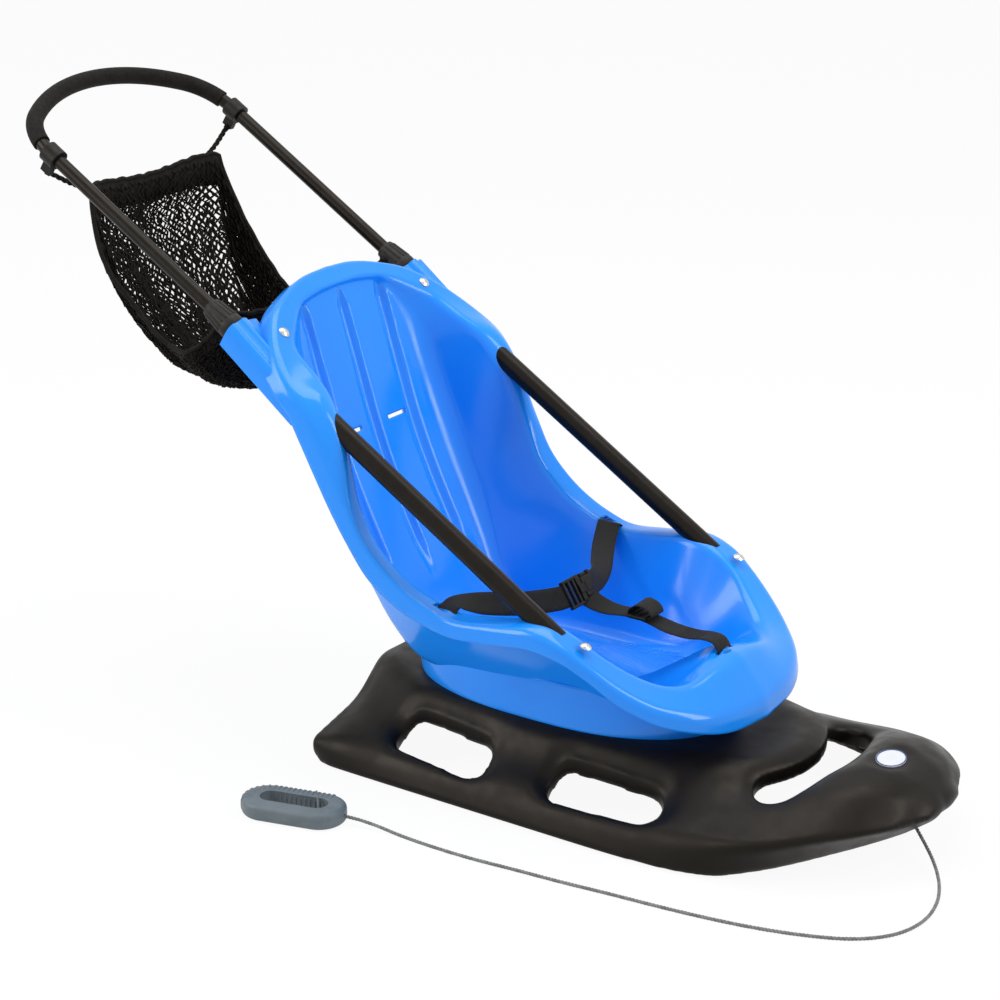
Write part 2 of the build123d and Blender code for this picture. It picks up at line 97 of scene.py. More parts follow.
def tidy(obj, merge=0.05):
    """Merges doubles and turns the faces outwards."""
    bm = bmesh.new()
    bm.from_mesh(obj.data)
    bmesh.ops.remove_doubles(bm, verts=bm.verts, dist=merge * MM)
    bmesh.ops.dissolve_degenerate(bm, edges=bm.edges, dist=0.01 * MM)
    bmesh.ops.recalc_face_normals(bm, faces=bm.faces)
    bm.to_mesh(obj.data)
    bm.free()
    obj.data.polygons.foreach_set("use_smooth", [True] * len(obj.data.polygons))
    return obj


def applied(obj):
    """Turns the object's modifiers into plain mesh."""
    depsgraph = bpy.context.evaluated_depsgraph_get()
    mesh = bpy.data.meshes.new_from_object(obj.evaluated_get(depsgraph))
    obj.modifiers.clear()
    old, obj.data = obj.data, mesh
    mesh.name = obj.name
    if isinstance(old, bpy.types.Mesh):
        bpy.data.meshes.remove(old)
    return obj


def join(name, objects):
    """One object from several, their meshes added together."""
    bm = bmesh.new()
    for obj in objects:
        bm.from_mesh(obj.data)
    mesh = bpy.data.meshes.new(name)
    bm.to_mesh(mesh)
    bm.free()
    for obj in objects:
        bpy.data.objects.remove(obj)
    mesh.polygons.foreach_set("use_smooth", [True] * len(mesh.polygons))
    return new_object(name, mesh)


def unit(vectors):
    """Vectors brought to length one, along the last axis."""
    return vectors / np.linalg.norm(vectors, axis=-1, keepdims=True)


def squircle(turn, half_a, half_b, power):
    """Both coordinates of a superellipse at the given turns."""
    pair = []
    for wave, half in ((np.cos(turn), half_a), (np.sin(turn), half_b)):
        pair.append(np.sign(wave) * np.abs(wave) ** (2 / power) * half)
    return pair


def thickened(obj, wall, even=False):
    """Gives a skin its wall, inwards from its outer face."""
    solid = obj.modifiers.new("wall", "SOLIDIFY")
    solid.thickness, solid.offset, solid.use_even_offset = wall * MM, -1, even
    return applied(obj)


def sharpen(obj, degrees):
    """Marks edges sharper than an angle, so that flat faces keep their edges."""
    obj.data.set_sharp_from_angle(angle=radians(degrees))
    return obj


def through(knots, count):
    """Smooth run of points through knots, by Catmull-Rom spans, count points in a span."""
    knots = np.asarray(knots, float)
    ends = np.vstack([2 * knots[0] - knots[1], knots, 2 * knots[-1] - knots[-2]])
    run = []
    for k in range(len(knots) - 1):
        p0, p1, p2, p3 = ends[k:k + 4]
        t = np.linspace(0, 1, count, endpoint=False)[:, None]
        run.append(0.5 * (2 * p1 + (p2 - p0) * t + (2 * p0 - 5 * p1 + 4 * p2 - p3) * t ** 2
                          + (3 * p1 - p0 - 3 * p2 + p3) * t ** 3))
    return np.vstack(run + [knots[-1:]])


def rounded(corners, setbacks, runs, bends):
    """Rows of points along rounded corner lines. corners is (rows, n, 3) and setbacks (rows, n - 2)."""
    pieces = []
    rows, n, _ = corners.shape
    lengths = np.linalg.norm(np.diff(corners, axis=1), axis=2)
    start = corners[:, 0]
    for k in range(1, n):
        ahead = corners[:, k]
        if k == n - 1:
            stop = ahead
        else:
            room = np.minimum(setbacks[:, k - 1], 0.48 * np.minimum(lengths[:, k - 1], lengths[:, k]))
            back = (corners[:, k - 1] - ahead) / np.maximum(lengths[:, k - 1], 1e-6)[:, None]
            on = (corners[:, k + 1] - ahead) / np.maximum(lengths[:, k], 1e-6)[:, None]
            stop, leave = ahead + back * room[:, None], ahead + on * room[:, None]
        for t in np.linspace(0, 1, runs[k - 1], endpoint=False):
            pieces.append(start + (stop - start) * t)
        if k < n - 1:
            for t in np.linspace(0, 1, bends[k - 1], endpoint=False):
                pieces.append(stop * (1 - t) ** 2 + ahead * 2 * t * (1 - t) + leave * t ** 2)
            start = leave
    pieces.append(corners[:, -1])
    return np.stack(pieces, axis=1)


def tube_points(path, radius, sides, twist=0.0):
    """Rings of points round a path, carried along it without spin."""
    path = np.asarray(path, float)
    run = unit(np.gradient(path, axis=0))
    side = unit(np.cross(run[0], (0.3, 0.2, 0.93)))
    rings = []
    for i, direction in enumerate(run):
        side = unit(side - direction * (side @ direction))
        up = np.cross(direction, side)
        turn = twist * i + np.arange(sides) * tau / sides
        size = radius[i] if np.ndim(radius) else radius
        rings.append(path[i] + size * (np.cos(turn)[:, None] * side + np.sin(turn)[:, None] * up))
    return np.array(rings)


def tube(name, path, radius, sides=8, closed=False):
    rings = tube_points(path, radius, sides)
    faces = grid_faces(len(rings), sides, close_rows=closed, close_columns=True)
    if not closed:
        faces += caps(len(rings), sides)
    return tidy(mesh_object(name, rings.reshape(-1, 3), faces), merge=0.001)


def on_tube(side, distance):
    return TUBE_FOOT + UP_TUBE * distance + np.array((0, side * TUBE_HALF, 0))


# Shader helpers

def node_group(name, inputs, outputs):
    group = bpy.data.node_groups.new(name, "ShaderNodeTree")
    for label, kind, value in inputs:
        socket = group.interface.new_socket(label, in_out="INPUT", socket_type=kind)
        socket.default_value = value
    for label, kind in outputs:
        group.interface.new_socket(label, in_out="OUTPUT", socket_type=kind)
    return group, group.nodes.new("NodeGroupInput"), group.nodes.new("NodeGroupOutput")


def add(tree, kind, links=(), **values):
    """Adds a node, sets its properties, and links (socket of this node, socket of another)."""
    node = tree.nodes.new(kind)
    for key, value in values.items():
        setattr(node, key, value)
    for here, there in links:
        if hasattr(there, "is_linked"):
            tree.links.new(there, node.inputs[here])
        else:
            node.inputs[here].default_value = there
    return node


def blank(name):
    """New node material, with its tree and its shader."""
    material = bpy.data.materials.new(name)
    material.use_nodes = True
    return material, material.node_tree, material.node_tree.nodes["Principled BSDF"]


def tone_group():
    """Two close tones that drift into each other over the surface."""
    group, have, give = node_group(
        "Tone drift",
        [("Vector", "NodeSocketVector", (0, 0, 0)), ("Tone", "NodeSocketColor", (0.5, 0.5, 0.5, 1)),
         ("Second tone", "NodeSocketColor", (0.5, 0.5, 0.5, 1)), ("Scale", "NodeSocketFloat", 6.0)],
        [("Color", "NodeSocketColor")])
    noise = add(group, "ShaderNodeTexNoise", [("Vector", have.outputs["Vector"]), ("Scale", have.outputs["Scale"]),
                                              ("Detail", 4.0), ("Roughness", 0.55)])
    spread = add(group, "ShaderNodeMapRange", [("Value", noise.outputs["Fac"]), ("From Min", 0.34),
                                               ("From Max", 0.66)])
    mix = add(group, "ShaderNodeMix", [(0, spread.outputs["Result"])], data_type="RGBA")
    mix_a = [s for s in mix.inputs if s.name == "A" and s.type == "RGBA"][0]
    mix_b = [s for s in mix.inputs if s.name == "B" and s.type == "RGBA"][0]
    group.links.new(have.outputs["Tone"], mix_a)
    group.links.new(have.outputs["Second tone"], mix_b)
    out = [s for s in mix.outputs if s.type == "RGBA"][0]
    group.links.new(out, give.inputs["Color"])
    return group


def grain_group():
    """Fine moulded grain: pebbles with a slower swell under them."""
    group, have, give = node_group(
        "Moulded grain",
        [("Vector", "NodeSocketVector", (0, 0, 0)), ("Pebbles", "NodeSocketFloat", 900.0),
         ("Swell", "NodeSocketFloat", 30.0), ("Swell share", "NodeSocketFloat", 0.3),
         ("Low", "NodeSocketFloat", 0.3), ("High", "NodeSocketFloat", 0.5)],
        [("Height", "NodeSocketFloat"), ("Roughness", "NodeSocketFloat")])
    pebbles = add(group, "ShaderNodeTexVoronoi", [("Vector", have.outputs["Vector"]),
                                                  ("Scale", have.outputs["Pebbles"])], feature="SMOOTH_F1")
    swell = add(group, "ShaderNodeTexNoise", [("Vector", have.outputs["Vector"]), ("Scale", have.outputs["Swell"]),
                                              ("Detail", 3.0)])
    mix = add(group, "ShaderNodeMix", [(0, have.outputs["Swell share"]), (2, pebbles.outputs["Distance"]),
                                       (3, swell.outputs["Fac"])])
    rough = add(group, "ShaderNodeMapRange", [("Value", swell.outputs["Fac"]), ("From Min", 0.35), ("From Max", 0.65),
                                              ("To Min", have.outputs["Low"]), ("To Max", have.outputs["High"])])
    group.links.new(mix.outputs[0], give.inputs["Height"])
    group.links.new(rough.outputs["Result"], give.inputs["Roughness"])
    return group


def weave_group():
    """Plain weave on a UV map in metres: crossing rows of yarn."""
    group, have, give = node_group(
        "Plain weave", [("Vector", "NodeSocketVector", (0, 0, 0)), ("Yarn", "NodeSocketFloat", 0.0016)],
        [("Height", "NodeSocketFloat"), ("Mask", "NodeSocketFloat")])
    split = add(group, "ShaderNodeSeparateXYZ", [(0, have.outputs["Vector"])])
    waves = []
    for axis in ("X", "Y"):
        count = add(group, "ShaderNodeMath", [(0, split.outputs[axis]), (1, have.outputs["Yarn"])], operation="DIVIDE")
        angle = add(group, "ShaderNodeMath", [(0, count.outputs[0]), (1, pi)], operation="MULTIPLY")
        waves.append(add(group, "ShaderNodeMath", [(0, angle.outputs[0])], operation="SINE"))
    cross = add(group, "ShaderNodeMath", [(0, waves[0].outputs[0]), (1, waves[1].outputs[0])], operation="MULTIPLY")
    high = add(group, "ShaderNodeMath", [(0, cross.outputs[0])], operation="ABSOLUTE")
    group.links.new(high.outputs[0], give.inputs["Height"])
    sign = add(group, "ShaderNodeMapRange", [("Value", cross.outputs[0]), ("From Min", -0.4), ("From Max", 0.4)])
    group.links.new(sign.outputs["Result"], give.inputs["Mask"])
    return group


TONE = tone_group()
GRAIN = grain_group()
WEAVE = weave_group()


def finish(name, tone, second, scale=6.0, pebbles=900.0, swell=30.0, low=0.3, high=0.45, bump=0.05, depth=0.3,
           swell_share=0.3):
    """Moulded or coated finish: drifting tone and grain bump."""
    material, tree, shader = blank(name)
    place = add(tree, "ShaderNodeTexCoord").outputs["Object"]
    drift = add(tree, "ShaderNodeGroup", node_tree=TONE)
    grain = add(tree, "ShaderNodeGroup", node_tree=GRAIN)
    for node, values in ((drift, {"Tone": (*tone, 1), "Second tone": (*second, 1), "Scale": scale}),
                         (grain, {"Pebbles": pebbles, "Swell": swell, "Swell share": swell_share,
                                  "Low": low, "High": high})):
        tree.links.new(place, node.inputs["Vector"])
        for key, value in values.items():
            node.inputs[key].default_value = value
    bumps = add(tree, "ShaderNodeBump", [("Strength", bump), ("Distance", depth * MM),
                                         ("Height", grain.outputs["Height"])])
    tree.links.new(drift.outputs["Color"], shader.inputs["Base Color"])
    tree.links.new(grain.outputs["Roughness"], shader.inputs["Roughness"])
    tree.links.new(bumps.outputs["Normal"], shader.inputs["Normal"])
    return material


def set_constant(material, **values):
    shader = material.node_tree.nodes["Principled BSDF"]
    for key, value in values.items():
        shader.inputs[key].default_value = value
    return material


SEAT_BLUE = finish("seat blue", (0.008, 0.275, 0.95), (0.007, 0.250, 0.90), scale=3.0, pebbles=500, swell=14,
                   low=0.16, high=0.24, bump=0.08, depth=0.15, swell_share=0.9)
set_constant(SEAT_BLUE, **{"Specular IOR Level": 0.36, "Coat Weight": 0.08})
BASE_BLACK = finish("base black", (0.0045, 0.0041, 0.0037), (0.0068, 0.0060, 0.0053), scale=8.0, pebbles=1400, swell=40,
                    low=0.34, high=0.46, bump=0.22, depth=0.2)
TUBE_BLACK = finish("tube black", (0.0055, 0.0050, 0.0045), (0.0080, 0.0070, 0.0060), scale=30.0, pebbles=2500,
                    swell=90, low=0.24, high=0.34, bump=0.05, depth=0.05)
COLLAR_GREY = finish("collar grey", (0.020, 0.0195, 0.0185), (0.028, 0.027, 0.025), scale=40.0, pebbles=2200, swell=120,
                     low=0.4, high=0.55, bump=0.15, depth=0.1)
FOAM_BLACK = finish("grip foam", (0.0065, 0.0062, 0.0058), (0.010, 0.0095, 0.009), scale=60.0, pebbles=1100, swell=200,
                    low=0.72, high=0.86, bump=0.5, depth=0.4)
NET_BLACK = finish("net yarn", (0.0035, 0.0032, 0.0030), (0.009, 0.008, 0.007), scale=90.0, pebbles=1600, swell=300,
                   low=0.7, high=0.85, bump=0.6, depth=0.4)
BUCKLE_BLACK = finish("buckle black", (0.008, 0.008, 0.008), (0.012, 0.012, 0.012), scale=50.0, pebbles=2600, swell=150,
                      low=0.35, high=0.48, bump=0.15, depth=0.08)
NICKEL = finish("rivet nickel", (0.62, 0.61, 0.58), (0.52, 0.51, 0.48), scale=120.0, pebbles=3000, swell=400,
                low=0.16, high=0.3, bump=0.05, depth=0.05)
set_constant(NICKEL, Metallic=1.0)
BADGE = finish("badge plate", (0.72, 0.74, 0.78), (0.66, 0.68, 0.72), scale=60.0, pebbles=3000, swell=200,
               low=0.12, high=0.2, bump=0.03, depth=0.05)
set_constant(BADGE, **{"Coat Weight": 0.6})
RIM_BLUE = finish("badge rim blue", (0.02, 0.06, 0.22), (0.02, 0.05, 0.19), scale=60.0, pebbles=3000, swell=200,
                  low=0.2, high=0.3, bump=0.03, depth=0.05)
TOW_GREY = finish("tow grip grey", (0.120, 0.150, 0.165), (0.095, 0.122, 0.136), scale=30.0, pebbles=1800, swell=80,
                  low=0.42, high=0.58, bump=0.2, depth=0.1)
CORD_GREY = finish("tow cord grey", (0.25, 0.25, 0.25), (0.15, 0.15, 0.15), scale=160.0, pebbles=3200, swell=500,
                   low=0.75, high=0.9, bump=0.5, depth=0.2)
for material in (BASE_BLACK, TUBE_BLACK, COLLAR_GREY, BUCKLE_BLACK, FOAM_BLACK, NET_BLACK):
    set_constant(material, **{"Specular IOR Level": 0.17, "Specular Tint": (1.0, 0.88, 0.76, 1)})


def webbing_material():
    """Black polyester webbing, woven in its own UV map."""
    material, tree, shader = blank("webbing black")
    strip = add(tree, "ShaderNodeUVMap", uv_map="Strip").outputs["UV"]
    weave = add(tree, "ShaderNodeGroup", [("Vector", strip), ("Yarn", 0.0015)], node_tree=WEAVE)
    drift = add(tree, "ShaderNodeGroup", [("Tone", (0.0040, 0.0038, 0.0036, 1)),
                                          ("Second tone", (0.0085, 0.0080, 0.0075, 1)), ("Scale", 70.0)],
                node_tree=TONE)
    tree.links.new(add(tree, "ShaderNodeTexCoord").outputs["Object"], drift.inputs["Vector"])
    rough = add(tree, "ShaderNodeMapRange", [("Value", weave.outputs["Mask"]), ("To Min", 0.55), ("To Max", 0.75)])
    bumps = add(tree, "ShaderNodeBump", [("Strength", 0.7), ("Distance", 0.4 * MM),
                                         ("Height", weave.outputs["Height"])])
    tree.links.new(drift.outputs["Color"], shader.inputs["Base Color"])
    tree.links.new(rough.outputs["Result"], shader.inputs["Roughness"])
    tree.links.new(bumps.outputs["Normal"], shader.inputs["Normal"])
    shader.inputs["Sheen Weight"].default_value = 0.02
    shader.inputs["Specular IOR Level"].default_value = 0.2
    return material


WEBBING = webbing_material()


def place(obj, body, slot, material, *replaced):
    """Gives a piece its material and body, and hides the CAD nodes that it stands for; the slot is not used."""
    obj.data.materials.clear()
    obj.data.materials.append(material)
    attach(obj, body)
    if replaced:
        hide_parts(*replaced)
    return obj


def coat(material, *nodes):
    """Gives CAD nodes a material of this script."""
    for node in nodes:
        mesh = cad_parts[node].data
        mesh.materials.clear()
        mesh.materials.append(material)


# Bucket seat: half loop of stations from the back's top middle round to the front's middle.
# Each has the spine, the trough beside it, the floor's corner, the rim's inner and outer edge and the skirt's foot.
# CROWN raises the middle of the rim at a station's number, where a tube goes through.
Station = namedtuple("Station", "spine trough corner inner outer skirt soft")
STATIONS = (
    Station((-231, 556), (-232, 0, 558), (-233, 0, 561), (-230, 0, 567), (-251, 0, 586), (-267, 0, 573), 3),
    Station((-230, 553), (-231, 20, 555), (-232, 43, 558), (-229, 44, 566), (-249, 50, 583), (-265, 54, 570), 4),
    Station((-226, 541), (-227, 58, 545), (-228, 80, 550), (-224, 82, 559), (-239, 97, 573), (-255, 104, 560), 8),
    Station((-217, 514), (-217, 76, 516), (-216, 104, 526), (-209, 113, 545), (-223, 140, 558), (-240, 148, 545), 16),
    Station((-206, 481), (-206, 78, 482), (-203, 118, 488), (-186, 144, 523), (-192, 178, 530), (-212, 186, 516), 26),
    Station((-192, 437), (-191, 78, 437), (-187, 127, 438), (-144, 154, 498), (-156, 204, 497), (-177, 209, 484), 38),
    Station((-179, 397), (-178, 78, 397), (-174, 132, 398), (-115, 162, 475), (-124, 211, 470), (-148, 213, 458), 46),
    Station((-163, 354), (-162, 78, 354), (-157, 134, 356), (-93, 168, 441), (-101, 212, 437), (-127, 214, 424), 52),
    Station((-143, 309), (-142, 78, 309), (-138, 132, 312), (-76, 176, 400), (-81, 212, 398), (-107, 214, 388), 54),
    Station((-118, 260), (-117, 78, 260), (-114, 128, 262), (-60, 182, 352), (-60, 212, 358), (-84, 213, 346), 54),
    Station((-92, 213), (-91, 78, 213), (-88, 122, 214), (-40, 181, 312), (-38, 211, 320), (-60, 212, 308), 52),
    Station((-65, 165), (-64, 74, 165), (-60, 114, 164), (-14, 180, 284), (-10, 211, 290), (-28, 212, 268), 46),
    Station((-34, 131), (-31, 68, 129), (-27, 106, 128), (18, 179, 262), (22, 211, 267), (14, 212, 240), 42),
    Station((18, 117), (20, 62, 116), (24, 103, 117), (56, 178, 248), (58, 211, 250), (56, 212, 226), 38),
    Station((84, 115), (84, 60, 115), (86, 104, 116), (96, 178, 241), (96, 211, 240), (98, 212, 219), 36),
    Station((144, 115), (144, 60, 115), (146, 104, 117), (150, 173, 247), (150, 211, 245), (150, 212, 223), 36),
    Station((192, 117), (194, 60, 117), (196, 102, 119), (205, 167, 255), (208, 210, 251), (208, 211, 230), 36),
    Station((222, 122), (228, 60, 121), (232, 100, 122), (245, 166, 246), (250, 206, 242), (252, 207, 222), 34),
    Station((248, 134), (256, 62, 126), (262, 98, 128), (278, 160, 226), (284, 197, 222), (286, 198, 203), 32),
    Station((276, 152), (284, 64, 136), (290, 96, 140), (308, 142, 204), (320, 184, 197), (322, 185, 176), 30),
    Station((304, 171), (308, 62, 152), (313, 91, 154), (338, 119, 187), (358, 160, 173), (360, 161, 152), 26),
    Station((330, 189), (332, 48, 172), (335, 76, 170), (362, 92, 182), (390, 124, 158), (393, 125, 137), 22),
    Station((343, 195), (348, 24, 190), (352, 44, 187), (376, 50, 188), (409, 72, 147), (413, 73, 125), 16),
    Station((344, 196), (352, 0, 195), (358, 0, 196), (380, 0, 192), (417, 0, 144), (421, 0, 121), 12),
)
CROWN = {6: 9, 7: 14, 8: 12, 9: 5, 15: 4, 16: 8}
CROWN_WAY = np.array((0.75, 0, 0.66))
SEAT_SPAN = 8
SEAT_WALL = 4.5
GROOVES = (0.0, 78.0)
GROOVE_HALF, GROOVE_DEPTH = 10.0, 8.0
GROOVE_TOP, GROOVE_FOOT = 562.0, 196.0
BACK_NORMAL = np.array((0.94, 0, 0.34))


def mirrored_loop(half):
    """Closed loop from its left half, which starts and ends on the middle plane."""
    return np.concatenate([half, (half * np.array((1, -1, 1)))[-2:0:-1]])


def bucket():
    """Back, pan, walls, rim and skirt as one skin, thickened to the moulding's wall."""
    flat = []
    for k, s in enumerate(STATIONS):
        crown = (np.array(s.inner) + s.outer) / 2 + CROWN_WAY * CROWN.get(k, 0)
        flat.append([(s.spine[0], 0, s.spine[1]), s.trough, s.corner, s.inner, crown, s.outer, s.skirt])
    knots = np.array([[c for point in row for c in point] for row in flat], float)
    half = through(knots, SEAT_SPAN).reshape(-1, 7, 3)
    half[(0, -1), :, 1] = 0
    soft = through(np.array([[s.soft] for s in STATIONS], float), SEAT_SPAN)[:, 0]
    setbacks = np.stack([np.clip(soft, 4, 26), soft, np.clip(soft, 3, 11), np.full(len(soft), 14.0),
                         np.full(len(soft), 10.0)], axis=1)
    skin = rounded(half, setbacks, runs=(18, 8, 8, 3, 3, 4), bends=(12, 9, 6, 5, 7))
    skin = grooved(skin)
    loop = mirrored_loop(skin)
    seat = mesh_object("bucket", loop.reshape(-1, 3), grid_faces(*loop.shape[:2], close_rows=True))
    tidy(seat)
    pan = [p.normal.z for p in seat.data.polygons if p.center.z < 0.13 and abs(p.center.y) < 0.06]
    if sum(pan) < 0:
        seat.data.flip_normals()
    return thickened(seat, SEAT_WALL, even=True)


def grooved(skin):
    """Presses the back's upright grooves into the skin."""
    y, z = np.abs(skin[..., 1]), skin[..., 2]
    ramp = np.clip((GROOVE_TOP - z) / 26, 0, 1) * np.clip((z - GROOVE_FOOT) / 40, 0, 1)
    behind = skin[..., 0] < -60
    for at in GROOVES:
        width = GROOVE_HALF * (0.35 + 0.65 * ramp)
        depth = GROOVE_DEPTH * ramp * np.clip(2.2 - 2.2 * np.abs(y - at) / width, 0, 1) * behind
        skin = skin - BACK_NORMAL * depth[..., None]
    return skin


# Tub below the rim, from its foot on the base up to the rim: height, back and front ends, half width, corner power
Ring = namedtuple("Ring", "z back front half power")
TUB = (
    Ring(97.5, -68, 368, 131, 2.5), Ring(101, -70, 370, 133, 2.5), Ring(118, -71, 368, 130, 2.6),
    Ring(146, -71, 354, 126, 2.7), Ring(153, -62, 345, 127, 2.8),
)
TUB_STEPS, TUB_WALL = 120, 3.0


def tub():
    rings = []
    turn = np.linspace(0, tau, TUB_STEPS, endpoint=False)
    rows = through(np.array(TUB, float), 4)
    for z, back, front, half, power in rows:
        x, y = squircle(turn, (front - back) / 2, half, power)
        rings.append(np.stack([(front + back) / 2 + x, y, np.full_like(x, z)], axis=1))
    rings = np.array(rings)
    piece = mesh_object("tub", rings.reshape(-1, 3), grid_faces(len(rings), TUB_STEPS, close_columns=True))
    tidy(piece)
    if piece.data.polygons[0].normal.dot(piece.data.polygons[0].center - Vector((0.15, 0, 0.1))) < 0:
        piece.data.flip_normals()
    return thickened(piece, TUB_WALL)


# Shoulder hoods over the tubes: across (outwards from the tube's middle line) and above the tube's axis
HOOD = ((-36, -16), (-35, 7), (-29, 12), (-14, 14.5), (-9, 19), (-1, 22), (4, 19.5), (11, 16.5), (15, 17), (20, 13),
        (22.5, 4), (22.5, -16))
HOOD_LOW, HOOD_TOP = 400.0, 540.0
HOOD_DROP = 14.0


def hood(side):
    """Ridged hood over the tube, rising out of the rim's corner and open to the collar."""
    section = through(HOOD, 4)
    rows = []
    for share in np.linspace(0, 1, 14):
        middle = on_tube(side, HOOD_LOW + (HOOD_TOP - HOOD_LOW) * share) - OFF_TUBE * HOOD_DROP * (1 - share)
        wide = np.where(section[:, 0] < 0, 0.4 + 0.6 * share, 1.0) * section[:, 0]
        rows.append([middle + np.array((0, side * across, 0)) + OFF_TUBE * above
                     for across, above in zip(wide, section[:, 1])])
    rows = np.array(rows)
    faces = grid_faces(*rows.shape[:2], close_columns=True) + caps(*rows.shape[:2])
    piece = mesh_object("hood", rows.reshape(-1, 3), faces)
    return sharpen(tidy(piece), 50)


def seat():
    skin = bucket()
    ribs = pan_ribs(skin)
    cut_slots(skin)
    piece = join("seat_moulding", [skin, ribs, tub()] + [hood(side) for _, side in SIDES])
    clear_bores(piece)
    return place(piece, "root", "seat_plastic", SEAT_BLUE, "seat_shell")


# Bores of the seat: radius and start along the tube, and where and how finely faces are split before they go
BORE_R, BORE_START = 12.8, 2.0
BORE_NEAR, BORE_FINE, BORE_ABOVE, BORE_PASSES = 26.0, 3.4, 200.0, 5


def from_axis(points):
    """Distances of points from the nearer tube's axis, and their places along that tube."""
    at = np.asarray(points, float) / MM - TUBE_FOOT
    at[:, 1] = np.abs(at[:, 1]) - TUBE_HALF
    along = at @ UP_TUBE
    return np.linalg.norm(at - np.outer(along, UP_TUBE), axis=1), along


def clear_bores(piece):
    """Takes out the seat's faces that lie inside the tubes, where the handle slides."""
    bm = bmesh.new()
    bm.from_mesh(piece.data)
    bmesh.ops.triangulate(bm, faces=[f for f in bm.faces if len(f.verts) > 4])
    for _ in range(BORE_PASSES):
        ends = np.array([[v.co for v in e.verts] for e in bm.edges])
        near = np.min([from_axis(c)[0] for c in (ends[:, 0], ends.mean(axis=1), ends[:, 1])], axis=0)
        size = np.linalg.norm(ends[:, 1] - ends[:, 0], axis=1)
        long = (size > BORE_FINE * MM) & (ends[:, 0, 2] > BORE_ABOVE * MM) & (near < BORE_NEAR)
        edges = [e for e, split in zip(bm.edges, long) if split]
        bmesh.ops.subdivide_edges(bm, edges=edges, cuts=1, use_grid_fill=True)
    off, along = from_axis([v.co for v in bm.verts])
    inside = {v for v, gone in zip(bm.verts, (off < BORE_R) & (along > BORE_START)) if gone}
    bmesh.ops.delete(bm, geom=[f for f in bm.faces if all(v in inside for v in f.verts)], context="FACES")
    bm.to_mesh(piece.data)
    bm.free()


def cutter(name, middle, size, tilt):
    bpy.ops.mesh.primitive_cube_add(size=1)
    box = bpy.context.object
    box.name = name
    box.scale = [s * MM for s in size]
    box.rotation_euler = (0, tilt, 0)
    box.location = [m * MM for m in middle]
    return box


def cut_slots(piece):
    """Strap slots through the back, the walls and the pommel."""
    slots = [((-175, side * 47, 386), (60, 38, 5), -20) for _, side in SIDES]
    slots += [((76, side * 182, 245), (36, 26, 5), 0) for _, side in SIDES]
    slots.append(((357, 0, 195), (5, 36, 40), 0))
    for middle, size, tilt in slots:
        box = cutter("slot cutter", middle, size, radians(tilt))
        cut = piece.modifiers.new("slot", "BOOLEAN")
        cut.object, cut.operation = box, "DIFFERENCE"
        # The exact solver loses the whole seat at the pommel's narrow faces
        cut.solver = "FAST" if middle[1] == 0 else "EXACT"
        applied(piece)
        bpy.data.objects.remove(box)


# Base: half widths and heights of the sole, outer edge, deck and hump at stations along it
Hat = namedtuple("Hat", "x sole sole_z edge edge_z deck deck_z hump hump_z")
HATS = (
    Hat(-114, 216, 6, 220, 30, 124, 54, 72, 99), Hat(-84, 228, -8, 217, 36, 140, 58, 92, 102),
    Hat(-20, 231, -8, 212, 38, 157, 62, 128, 100), Hat(60, 232, -8, 210, 38, 166, 64, 140, 100),
    Hat(190, 232, -8, 210, 38, 168, 64, 142, 100), Hat(330, 231, -8, 210, 38, 162, 64, 124, 100),
    Hat(430, 218, -4, 206, 42, 142, 70, 90, 98), Hat(510, 176, 10, 196, 52, 118, 84, 66, 100),
    Hat(580, 112, 28, 158, 64, 92, 102, 46, 112), Hat(630, 62, 44, 106, 68, 64, 95, 30, 102),
    Hat(653, 26, 53, 56, 66, 34, 80, 16, 84),
)
HAT_SPAN, HAT_SOFT = 9, (30, 40, 26, 12)
SOLE_IN, SOLE_LOW, NOSE_SHUT = 16.0, 0.8, (470.0, 520.0)
HUMP_FULL, DECK_LOW, DECK_FADE, WALL_TOP = 130.0, 30.0, 16.0, 34.0
TAIL_ROUND, TIP_ROUND = ((3, 1.5), (6, 4.5), (8, 9)), ((5, 8), (8, 15), (9, 20))
# Openings: middle, length, depth across, turn; the front one is bent to an arc
Hole = namedtuple("Hole", "x y length deep turn")
HOLES = (Hole(60, 174, 146, 42, 6), Hole(298, 174, 152, 42, -3))
ARC_X, ARC_HALF, ARC_BULGE, ARC_DEEP = 486.0, 92.0, 26.0, 54.0
LIP_W, LIP_DROP, LIP_LOW = 7.0, 26.0, 2.0
LIP = ((0, LIP_DROP), (LIP_W, LIP_DROP), (LIP_W, 0.8), (0, 4.5))
DISH, DISH_REACH, ABOVE = 11.0, 26.0, 200.0
BADGE_AT, BADGE_SLOPE, BADGE_HALF = (588.0, 110.0), 0.14, (18.0, 25.0)
BADGE_SINK, BADGE_REACH, BADGE_FADE, BADGE_ABOVE = 0.9, 1.5, 0.4, 85.0
BASE_SKIN, BASE_VOXEL = 9.0, 3.6


def hole_lines():
    """Middle line and half depth of each opening, in plan."""
    lines = []
    for hole in HOLES:
        reach = (hole.length - hole.deep) / 2
        way = np.array((cos(radians(hole.turn)), sin(radians(hole.turn))))
        for _, side in SIDES:
            along = np.linspace(-reach, reach, 12)[:, None] * way + (hole.x, hole.y)
            lines.append((along * (1, side), hole.deep / 2))
    y = np.linspace(-ARC_HALF, ARC_HALF, 24)
    lines.append((np.stack([ARC_X + ARC_BULGE * (1 - (y / ARC_HALF) ** 2), y], axis=1), ARC_DEEP / 2))
    return lines


